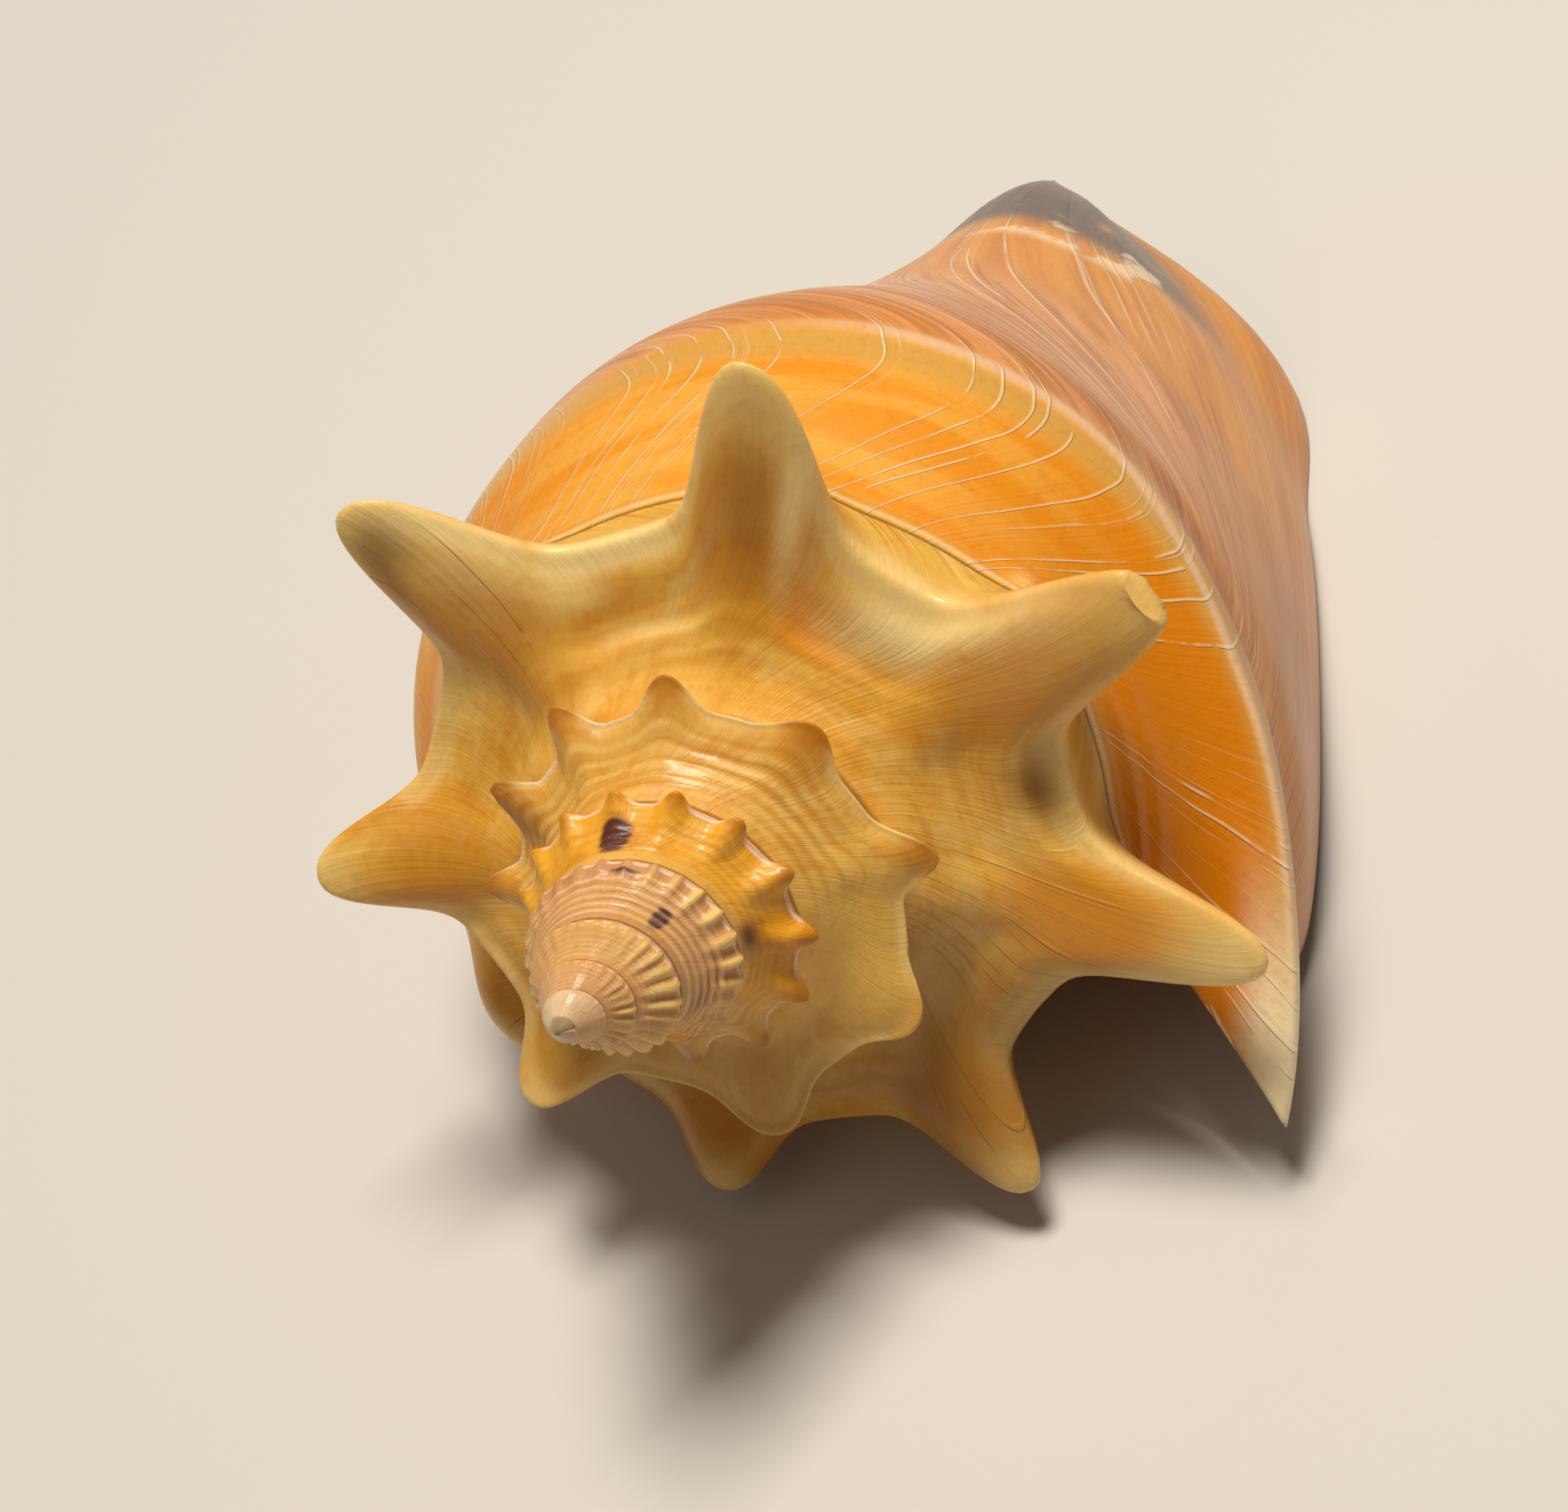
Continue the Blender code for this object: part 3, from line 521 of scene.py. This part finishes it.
def cavity_skin():
    """The hollow of the last whorl, from its blind inner end to beyond the lip."""
    skin = Skin()
    turns = np.linspace(CAVITY_START, lip_turn(KEEL) + CAVITY_OVERSHOOT, CAVITY_STEPS)
    rings = []
    for t in turns:
        radius, depth = cavity_ring(t, CAVITY_POINTS)
        close = np.sqrt(np.clip((t - CAVITY_START) / CAVITY_ROUNDING, BLIND_END, 1))
        radius = radius.mean() + (radius - radius.mean()) * close
        depth = depth.mean() + (depth - depth.mean()) * close
        around = np.concatenate([np.linspace(0, TIP, CAVITY_POINTS), np.linspace(TIP, 0, CAVITY_POINTS)])
        rings.append(skin.add(place(np.full_like(radius, t), radius, -depth), t, around))
    for a, b in zip(rings, rings[1:]):
        skin.weave(a + a[:1], b + b[:1])
    for ring in (rings[0], rings[-1]):
        middle = skin.add([np.array(skin.points)[ring].mean(axis=0)], CAVITY_START, 1)[0]
        for a, b in zip(ring, ring[1:] + ring[:1]):
            skin.faces.append([a, b, middle])
    return skin


def canal_skin():
    """The siphonal canal's hollow."""
    skin = Skin()
    depths = np.linspace(CANAL_BORE[0][0], CANAL_BORE[-1][0], CANAL_STEPS)
    around = TAU * np.arange(CANAL_SIDES) / CANAL_SIDES
    rings = []
    for depth, radius in zip(depths, curve(CANAL_BORE, depths)):
        x = CANAL_OFFSET * math.cos(CANAL_AZIMUTH) + radius * np.cos(around)
        y = CANAL_OFFSET * math.sin(CANAL_AZIMUTH) + radius * np.sin(around)
        turn = (AZIMUTH_OF_TURN_0 - np.arctan2(y, x)) / TAU
        rings.append(skin.add(place(turn, np.hypot(x, y), np.full_like(x, -depth)), 1.2, RIM))
    for a, b in zip(rings, rings[1:]):
        skin.weave(a + a[:1], b + b[:1])
    skin.faces += [rings[0], rings[-1]]
    return skin


def peak(t, v):
    """How near a place is to the tip of a spine or nodule: 1 on the tip."""
    out, up = relief(t, v - KEEL)
    reach = np.zeros_like(t)
    for centre, length, lift, older, younger in SPINES:
        x = np.abs(t - centre) * 8 / np.where(t < centre, older, younger)
        reach = np.maximum(reach, np.exp(-0.69 * x ** 2.6))
    nodule = (0.5 + 0.5 * np.cos(TAU * curve(NODULES_LEFT, t))) ** 2.2
    away = np.abs(v - KEEL)
    ridge = np.where(v < KEEL, np.exp(-(away / 0.34) ** 1.6), np.exp(-(away / 0.13) ** 1.7))
    return np.where(t < -0.735, nodule, reach) * ridge


def marks(kind, t, v):
    """Strength of one kind of mark: highest in its middle."""
    total = np.zeros_like(t)
    for turn, station, turn_width, station_width, depth in MARKS[kind]:
        away = np.abs((t - turn) / turn_width) ** 2.5 + np.abs((v - station) / station_width) ** 2.5
        total += depth * np.exp(-away)
    return np.clip(total, 0, 1)


def rest_matrix():
    """From the growth frame in millimetres to the part's frame in metres."""
    up = UP.normalized()
    back = (BACK - up * BACK.dot(up)).normalized()
    turn = Matrix((back.cross(up), back, up))
    return Matrix.Scale(MM, 4) @ Matrix.Translation(APEX) @ turn.to_4x4()


def link(name, mesh):
    obj = bpy.data.objects.new(name, mesh)
    bpy.context.scene.collection.objects.link(obj)
    return obj


def growth_age(t, v):
    """The turn at which the keel was, when this place was at the lip."""
    near_lip = ease((t - LIP_LINES_FROM) / (LIP_LINES_TO - LIP_LINES_FROM))
    return t + (1 - near_lip) * curve(SLANT, v) + near_lip * (lip_turn(KEEL) - lip_turn(v))


def fine_shell(matrix):
    outer, cavity, canal = outer_skin(), cavity_skin(), canal_skin()
    shell = link("fine_shell", outer.mesh("fine_shell", matrix, False))
    blank = [bpy.data.materials.new("outside"), bpy.data.materials.new("inside")]
    hollows = {"cavity": cavity, "canal": canal}
    cutters = [link(name, skin.mesh(name, matrix, True)) for name, skin in hollows.items()]
    for obj in [shell, *cutters]:
        for material in blank:
            obj.data.materials.append(material)
    for cutter in cutters:
        hollow = shell.modifiers.new(cutter.name, "BOOLEAN")
        hollow.operation = "DIFFERENCE"
        hollow.solver = "MANIFOLD"
        hollow.object = cutter
    graph = bpy.context.evaluated_depsgraph_get()
    mesh = bpy.data.meshes.new_from_object(shell.evaluated_get(graph))
    shell.modifiers.clear()
    shell.data = mesh
    for cutter in cutters:
        bpy.data.objects.remove(cutter)
    tag_surface(mesh, matrix, outer, [cavity, canal])
    mesh.materials.clear()
    for polygon in mesh.polygons:
        polygon.material_index = 0
        polygon.use_smooth = True
    return shell


def nearest_tags(points, skins):
    """Turn and station of the skins' vertex nearest to each point."""
    total = sum(len(skin.points) for skin in skins)
    tree = KDTree(total)
    tags = []
    for skin in skins:
        for point, tag in zip(skin.points, skin.tags):
            tree.insert(point, len(tags))
            tags.append(tag)
    tree.balance()
    return np.array([tags[tree.find(point)[1]] for point in points])


def tag_surface(mesh, matrix, outer, inner):
    """Corner attributes: growth age in turns, station, and 1 on the inside."""
    back = np.array(matrix.inverted())
    points = np.empty(len(mesh.vertices) * 3)
    mesh.vertices.foreach_get("co", points)
    points = points.reshape(-1, 3) @ back[:3, :3].T + back[:3, 3]
    corner_vertex = np.empty(len(mesh.loops), int)
    mesh.loops.foreach_get("vertex_index", corner_vertex)
    inside_face = np.empty(len(mesh.polygons), int)
    mesh.polygons.foreach_get("material_index", inside_face)
    sizes = np.empty(len(mesh.polygons), int)
    mesh.polygons.foreach_get("loop_total", sizes)
    face_of_corner = np.repeat(np.arange(len(sizes)), sizes)
    inside = inside_face[face_of_corner] > 0
    outer_tags = nearest_tags(points, [outer])
    inner_tags = nearest_tags(points, inner)
    tags = np.where(inside[:, None], inner_tags[corner_vertex], outer_tags[corner_vertex])
    low = np.full(len(sizes), 1e9)
    np.minimum.at(low, face_of_corner, tags[:, 1])
    at_suture = (tags[:, 1] > KEEL) & (low[face_of_corner] < MID_RAMP) & ~inside
    tags[at_suture] = np.stack([tags[at_suture][:, 0] + 1, np.full(at_suture.sum(), SUTURE)], 1)
    turn, station = tags.T
    corded = (station > CORDS_FROM) & (station < CORDS_TO)
    values_by_name = {"turn": turn, "growth": growth_age(turn, station), "station": station,
                      "inside": inside.astype(float), "peak": peak(turn, station),
                      "bead": bead(turn, station), "cord": np.clip(cord_wave(turn, station), 0, 1) * corded}
    for kind in MARKS:
        values_by_name[kind] = marks(kind, turn, station)
    for name, values in values_by_name.items():
        mesh.attributes.new(name, "FLOAT", "CORNER").data.foreach_set("value", values)


class Graph:
    """A material's node tree, built by short calls. A constant goes straight onto the socket it is for."""

    def __init__(self, name):
        self.material = bpy.data.materials.new(name)
        self.material.use_nodes = True
        self.tree = self.material.node_tree
        self.shader = self.tree.nodes["Principled BSDF"]

    def put(self, socket, value):
        if isinstance(value, bpy.types.NodeSocket):
            self.tree.links.new(value, socket)
        elif isinstance(value, tuple) and len(value) == 3 and socket.type == "RGBA":
            socket.default_value = (*value, 1)
        else:
            socket.default_value = value

    def finish(self, socket, value):
        self.put(self.shader.inputs[socket], value)

    def attribute(self, name):
        node = self.tree.nodes.new("ShaderNodeAttribute")
        node.attribute_name = name
        return node.outputs["Fac"]

    def math(self, operation, *values):
        node = self.tree.nodes.new("ShaderNodeMath")
        node.operation = operation
        for socket, value in zip(node.inputs, values):
            self.put(socket, value)
        return node.outputs[0]

    def times(self, *values):
        product = values[0]
        for value in values[1:]:
            product = self.math("MULTIPLY", product, value)
        return product

    def total(self, *values):
        result = values[0]
        for value in values[1:]:
            result = self.math("ADD", result, value)
        return result

    def rise(self, x, low, high, top=1.0):
        """Smooth step from 0 at low to top at high; low may be the greater."""
        node = self.tree.nodes.new("ShaderNodeMapRange")
        node.interpolation_type = "SMOOTHSTEP"
        flip = low > high
        span = (high, low) if flip else (low, high)
        ends = (top, 0.0) if flip else (0.0, top)
        for socket, value in zip(node.inputs, (x, *span, *ends)):
            self.put(socket, value)
        return node.outputs[0]

    def band(self, x, low, high, soft, top=1.0):
        """1 between low and high, with soft ends."""
        return self.times(self.rise(x, low - soft, low + soft), self.rise(x, high + soft, high - soft, top))

    def vector(self, x, y, z=0.0):
        node = self.tree.nodes.new("ShaderNodeCombineXYZ")
        for socket, value in zip(node.inputs, (x, y, z)):
            self.put(socket, value)
        return node.outputs[0]

    def noise(self, vector, scale=1.0, detail=2.0, roughness=0.5):
        node = self.tree.nodes.new("ShaderNodeTexNoise")
        settings = {"Vector": vector, "Scale": scale, "Detail": detail, "Roughness": roughness}
        for name, value in settings.items():
            self.put(node.inputs[name], value)
        return node.outputs["Fac"]

    def place(self):
        return self.tree.nodes.new("ShaderNodeTexCoord").outputs["Object"]

    def blend(self, factor, a, b):
        node = self.tree.nodes.new("ShaderNodeMix")
        node.data_type = "RGBA"
        self.put(node.inputs["Factor"], factor)
        self.put([s for s in node.inputs if s.name == "A" and s.type == "RGBA"][0], a)
        self.put([s for s in node.inputs if s.name == "B" and s.type == "RGBA"][0], b)
        return [s for s in node.outputs if s.type == "RGBA"][0]

    def threads(self, growth, station, count, width, kept, seed):
        """Thin lines along the growth lines: count in a turn, a part of them kept, broken here and there."""
        slow = self.vector(self.times(growth, 0.13 * count), self.times(station, 1.1), seed)
        wobble = self.noise(slow, 1, 2, 0.5)
        place = self.math("MULTIPLY_ADD", growth, float(count), self.times(wobble, 2.4))
        cell = self.math("FLOOR", place)
        away = self.math("ABSOLUTE", self.math("SUBTRACT", self.math("FRACT", place), 0.5))
        chance = self.noise(self.vector(self.times(cell, 5.37), seed + 3.3), 1, 0, 0.5)
        breaks = self.noise(self.vector(self.times(cell, 3.71), self.times(station, 3.4), seed), 1, 3, 0.6)
        held = self.rise(chance, 0.78 - 0.56 * kept, 0.86 - 0.56 * kept)
        return self.times(self.rise(away, width, 0.45 * width), held, self.rise(breaks, 0.4, 0.52))

    def bump(self, height, distance, strength=1.0):
        node = self.tree.nodes.new("ShaderNodeBump")
        self.put(node.inputs["Height"], height)
        self.put(node.inputs["Distance"], distance)
        self.put(node.inputs["Strength"], strength)
        return node.outputs["Normal"]


def shade(red, green, blue):
    """A colour picked on screen, 0 to 255, as scene light."""
    def light(level):
        level /= 255
        return level / 12.92 if level <= 0.04045 else ((level + 0.055) / 1.055) ** 2.4
    return light(red), light(green), light(blue)


TAN, SAND, CREAM = shade(220, 160, 54), shade(236, 186, 84), shade(248, 212, 130)
WHITISH, WEAR_AND_PAINTED_LIGHT, SHADED = shade(254, 236, 196), shade(254, 224, 150), shade(140, 92, 40)
AMBER, ORANGE, DEEP_ORANGE = shade(206, 130, 14), shade(232, 146, 34), shade(218, 128, 8)
RAMP, NECK, KEEL_TAN = shade(236, 166, 62), shade(212, 128, 40), shade(214, 160, 74)
PINK, ROSE, MAUVE = shade(230, 156, 90), shade(204, 128, 62), shade(160, 88, 44)
GOLD, OCHRE, BAND = shade(232, 162, 34), shade(180, 104, 10), shade(168, 118, 84)
BEAD, SHELL_ROSE, EDGE = shade(246, 202, 116), shade(222, 160, 98), shade(244, 206, 172)
BROWN, PLUM, SLATE, THROAT = shade(112, 60, 12), shade(92, 44, 30), shade(112, 92, 82), shade(232, 160, 110)
LIP_TAN, WING, NECK_GOLD = shade(182, 118, 42), shade(242, 220, 176), shade(228, 150, 48)


def shell_material():
    g = Graph("shell_finish")
    turn, growth, station = g.attribute("turn"), g.attribute("growth"), g.attribute("station")
    peak, inside = g.attribute("peak"), g.attribute("inside")
    cloud = g.noise(g.place(), 160, 4, 0.6)
    broad = g.noise(g.place(), 48, 3, 0.5)
    grain = g.noise(g.place(), 1500, 3, 0.6)
    t = g.math("MULTIPLY_ADD", cloud, 0.05, g.math("SUBTRACT", turn, 0.025))
    v = g.math("MULTIPLY_ADD", broad, 0.14, g.math("SUBTRACT", station, 0.07))
    streak = g.noise(g.vector(g.times(growth, 120.0), g.times(station, 1.2)), 1, 4, 0.65)
    hair = g.noise(g.vector(g.times(growth, 420.0), g.times(station, 1.6)), 1, 3, 0.6)
    spiral = g.noise(g.vector(g.times(turn, 9.0), g.times(v, 6.0)), 1, 4, 0.6)
    fold = g.noise(g.vector(g.times(growth, 34.0), g.times(v, 2.2)), 1, 3, 0.6)
    # The keel's ridge draws back from the edge near the lip
    ridge = g.total(station, g.rise(turn, 1.1, 1.2, 0.15))
    spine_whorl = g.rise(t, -0.72, -0.6)
    streaky = g.rise(streak, 0.4, 0.6)
    layers = [
        # The spine whorl: tan, amber in its hollows, cream where it is worn
        (1.0, g.blend(g.rise(broad, 0.36, 0.62), TAN, SAND)),
        (g.times(spine_whorl, g.rise(spiral, 0.48, 0.64), g.rise(v, 0.98, 0.9), 0.4), AMBER),
        (g.times(spine_whorl, g.rise(spiral, 0.5, 0.36), 0.3), CREAM),
        (g.times(spine_whorl, g.rise(fold, 0.5, 0.66), 0.4), AMBER),
        (g.times(spine_whorl, g.rise(fold, 0.46, 0.34), 0.3), CREAM),
        (g.times(g.band(peak, 0.14, 0.66, 0.14), g.rise(t, -0.5, -0.3), 0.6), AMBER),
        # Older whorls: sandy, then golden, then rosy with pale beads, and a cream tip
        (g.times(g.rise(t, -0.78, -0.86), 0.6), KEEL_TAN),
        (g.times(g.rise(t, -0.74, -0.86), g.attribute("cord"), g.rise(cloud, 0.3, 0.55), 0.4), CREAM),
        (g.times(g.band(t, -1.6, -0.76, 0.05), g.rise(g.attribute("cord"), 0.2, 0.0),
                 g.band(v, 0.2, 0.75, 0.08), 0.35), AMBER),
        (g.times(g.rise(t, -0.74, -0.86), g.rise(peak, 0.1, 0.5), g.rise(spiral, 0.4, 0.6), 0.6), AMBER),
        (g.times(g.band(t, -1.5, -0.76, 0.05), g.rise(fold, 0.48, 0.6), 0.4), AMBER),
        (g.times(g.band(t, -2.62, -1.66, 0.05), g.rise(v, 0.06, 0.28), g.rise(cloud, 0.2, 0.45)), GOLD),
        (g.times(g.band(t, -2.62, -1.7, 0.05), g.rise(v, 0.1, 0.3), g.rise(cloud, 0.5, 0.62), 0.5), OCHRE),
        (g.times(g.band(t, -2.62, -1.7, 0.05), g.attribute("cord"), g.rise(cloud, 0.55, 0.45), 0.35), BEAD),
        (g.times(g.rise(t, -2.55, -2.75), g.rise(cloud, 0.25, 0.6), 0.9), SHELL_ROSE),
        (g.times(g.band(t, -3.5, -2.55, 0.1), g.rise(g.attribute("cord"), 0.3, 0.0), 0.4), BAND),
        (g.times(g.rise(turn, -2.6, -2.8), g.rise(g.attribute("bead"), 0.08, 0.5)), BEAD),
        # Whitish tip: a cream apex, brightened further as painted light on the dome that the key light leaves
        # dark
        (g.rise(t, -5.5, -6.1, 0.5), WHITISH),
        (g.times(g.rise(t, -2.6, -2.8), g.rise(cloud, 0.56, 0.68), 0.3), OCHRE),
        # The last whorl: ramp, keel, side and neck
        (g.times(g.rise(t, 0.6, 0.7), g.rise(v, 0.02, 0.1)), g.blend(g.rise(spiral, 0.4, 0.6), ORANGE, RAMP)),
        # Deeper orange on the ramp near the lip, partly painted shade
        (g.times(g.rise(t, 1.03, 1.18), g.band(v, 0.1, 0.95, 0.08)), DEEP_ORANGE),
        (g.times(g.rise(t, 0.6, 0.8), g.band(v, 0.84, 1.06, 0.08), 0.85), KEEL_TAN),
        (g.times(g.rise(t, 0.4, 0.6), g.rise(station, 1.06, 1.14)), g.blend(streaky, PINK, ROSE)),
        (g.times(g.band(v, 1.15, 2.1, 0.12), g.rise(hair, 0.46, 0.6), g.rise(streak, 0.44, 0.58), 0.65),
         MAUVE),
        (g.times(g.rise(turn, 1.12, 1.22), g.rise(station, 1.1, 1.5), 0.8), g.blend(streaky, LIP_TAN, ROSE)),
        (g.rise(g.total(v, g.rise(turn, 1.08, 1.2, 0.22)), 2.1, 2.4), g.blend(streaky, NECK, NECK_GOLD)),
        (g.times(g.rise(turn, 1.02, 1.16), g.band(ridge, 1.12, 1.38, 0.06), 0.55), OCHRE),
        (g.times(g.rise(turn, 1.04, 1.2), g.band(ridge, 1.2, 1.34, 0.06), streaky, 0.5), BROWN),
        (g.times(g.rise(turn, 0.95, 1.05), g.band(ridge, 1.03, 1.09, 0.025), 0.6), EDGE),
        (g.times(g.rise(growth, 1.24, 1.3), g.band(station, 0.7, 1.22, 0.08), 0.9), WING),
        # Whitish crest between the spines, and pale edges between nodules
        (g.times(g.rise(turn, 0.36, 0.3), g.rise(turn, -1.3, -1.2), g.band(station, 0.9, 1.07, 0.05),
                 g.rise(peak, 0.9, 0.3), g.rise(cloud, 0.25, 0.5, 0.45)), WEAR_AND_PAINTED_LIGHT),
        (g.times(g.rise(turn, -1.0, -1.1), g.band(station, 0.94, 1.2, 0.03), g.rise(peak, 0.55, 0.15), 0.9),
         EDGE),
        # Painted shade: brown-tan darkening on the lower spines and the underside of the last whorl, which face
        # away from the key light
        (g.band(t, 0.28, 0.42, 0.04, 0.62), SHADED),
        (g.band(t, 0.44, 0.62, 0.04, 0.35), SHADED),
        (g.band(t, -0.62, -0.34, 0.05, 0.3), SHADED),
        # Tips: golden on nodules, pale on spines
        (g.times(g.rise(turn, -0.6, -0.8), g.rise(turn, -2.6, -2.5), g.rise(peak, 0.4, 0.85),
                 g.rise(cloud, 0.3, 0.5), 0.7), OCHRE),
        (g.times(g.rise(turn, -0.6, -0.4), g.rise(peak, 0.7, 0.98), 0.55), CREAM),
        (g.rise(grain, 0.5, 0.7, 0.16), OCHRE),
        # Marks
        (g.times(g.attribute("warm"), 0.9), ORANGE),
        # Pale marks: worn patches and painted light on surfaces facing the camera
        (g.times(g.attribute("pale"), g.rise(cloud, 0.2, 0.5)), WEAR_AND_PAINTED_LIGHT),
        # Brown marks: stains, and painted shade in the hollow between two spines
        (g.times(g.attribute("brown"), g.rise(cloud, 0.15, 0.45)), BROWN),
        (g.rise(g.times(g.attribute("plum"), g.total(g.times(g.attribute("cord"), -0.4), 1.0)), 0.14, 0.5),
         PLUM),
    ]
    # Whitish growth lines: long on the last whorl, sparse on the spine whorl
    last = g.rise(turn, 0.5, 0.7)
    spines = g.times(g.rise(turn, -0.5, -0.15), g.rise(broad, 0.52, 0.66))
    lip_side = g.times(g.rise(turn, 1.1, 1.16), g.rise(station, 1.1, 1.2, -0.7))
    long_lines = g.times(g.threads(growth, station, 170, 0.15, 0.42, 0.0), g.math("MAXIMUM", last, spines),
                         g.total(1.0, lip_side))
    short_lines = g.times(g.threads(growth, station, 330, 0.2, 0.4, 7.0), last, g.rise(broad, 0.42, 0.6))
    dark_lines = g.times(g.threads(growth, station, 300, 0.25, 0.5, 11.0), last, g.rise(station, 1.1, 1.3),
                         g.rise(v, 2.4, 2.2))
    layers += [
        (g.times(long_lines, g.rise(growth, 0.6, 1.0, 0.42)), WHITISH),
        (g.times(short_lines, 0.3), WHITISH),
        (g.times(dark_lines, 0.6), MAUVE),
        # Spiral bands of the spire, painted contact shadow along the sutures, and the canal's grey margin
        (g.times(last, g.rise(station, 0.022, 0.008), 0.7), BROWN),
        (g.times(last, g.band(station, 0.028, 0.045, 0.006), 0.5), EDGE),
        (g.times(last, g.band(station, 0.055, 0.075, 0.008), 0.4), ROSE),
        (g.times(g.rise(turn, -2.5, -2.7), g.attribute("cord"), 0.35), EDGE),
        # Painted contact shadow along the spire's sutures
        (g.times(g.rise(turn, 0.3, 0.2), g.rise(turn, -5.6, -5.3), g.rise(station, 0.05, 0.015), 0.65),
         BROWN),
        (g.times(g.rise(v, 2.68, 2.82), g.rise(turn, 1.22, 1.15), g.rise(cloud, 0.2, 0.4)), SLATE),
        (g.times(g.band(v, 2.62, 2.84, 0.04), g.rise(turn, 1.22, 1.15), g.rise(cloud, 0.54, 0.62), 0.6),
         WHITISH),
        # Inside: orange, rosy toward the lip
        (inside, g.blend(g.rise(turn, 1.2, 1.31), DEEP_ORANGE, THROAT)),
    ]
    colour = layers[0][1]
    for mask, tint in layers[1:]:
        colour = g.blend(mask, colour, tint)
    g.finish("Base Color", colour)
    g.finish("Roughness", g.math("MULTIPLY_ADD", cloud, 0.25, 0.22))
    g.finish("Specular IOR Level", 0.28)
    g.finish("Coat Weight", 0.14)
    g.finish("Coat Roughness", 0.1)
    height = g.total(g.times(hair, 0.3), g.times(streak, 0.35), g.times(long_lines, 0.5),
                     g.times(short_lines, 0.3), g.times(grain, 0.15), g.times(cloud, 0.35))
    g.finish("Normal", g.bump(height, 0.0002, 0.8))
    return g.material


def make_floor():
    mesh = bpy.data.meshes.new("floor")
    size = FLOOR_HALF_SIZE
    corners = [(-size, -size, 0), (size, -size, 0), (size, size, 0), (-size, size, 0)]
    mesh.from_pydata(corners, [], [(0, 1, 2, 3)])
    floor = link("floor", mesh)
    material = bpy.data.materials.new("floor_paper")
    material.use_nodes = True
    shader = material.node_tree.nodes["Principled BSDF"]
    shader.inputs["Base Color"].default_value = (*FLOOR_COLOUR, 1)
    shader.inputs["Roughness"].default_value = 0.9
    mesh.materials.append(material)
    return floor


def add_light(name, place, aim, size, power):
    data = bpy.data.lights.new(name, "AREA")
    data.size = size
    data.energy = power
    data.color = LIGHT_COLOUR
    light = link(name, data)
    light.location = place
    light.rotation_euler = (aim - place).to_track_quat("-Z", "Y").to_euler()
    return light


def make_camera(matrix):
    data = bpy.data.cameras.new("camera")
    data.lens = CAMERA_LENS
    data.sensor_width = 36
    data.sensor_fit = "HORIZONTAL"
    data.clip_start = 0.01
    camera = link("camera", data)
    right, up = CAMERA_RIGHT.normalized(), CAMERA_UP.normalized()
    turn = Matrix((right, up, right.cross(up))).transposed()
    rotation = matrix.to_3x3().normalized() @ turn
    camera.matrix_world = Matrix.Translation(matrix @ CAMERA_PLACE) @ rotation.to_4x4()
    bpy.context.scene.camera = camera
    return camera


def make_world():
    world = bpy.data.worlds.new("studio")
    world.use_nodes = True
    background = world.node_tree.nodes["Background"]
    background.inputs["Color"].default_value = (*WORLD_COLOUR, 1)
    background.inputs["Strength"].default_value = WORLD_STRENGTH
    bpy.context.scene.world = world


def main():
    matrix = rest_matrix()
    shell = fine_shell(matrix)
    shell.data.materials.append(shell_material())
    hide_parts("shell")
    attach(shell, "root")
    make_floor()
    make_world()
    camera = make_camera(matrix)
    basis = camera.matrix_world.to_3x3()
    centre = Vector(SHELL_CENTRE)
    for name, place, size, power in LIGHTS:
        add_light(name, centre + basis @ Vector(place), centre, size, power)
    view = bpy.context.scene.view_settings
    view.view_transform = "Standard"
    print("triangles", sum(len(p.vertices) - 2 for p in shell.data.polygons))


main()
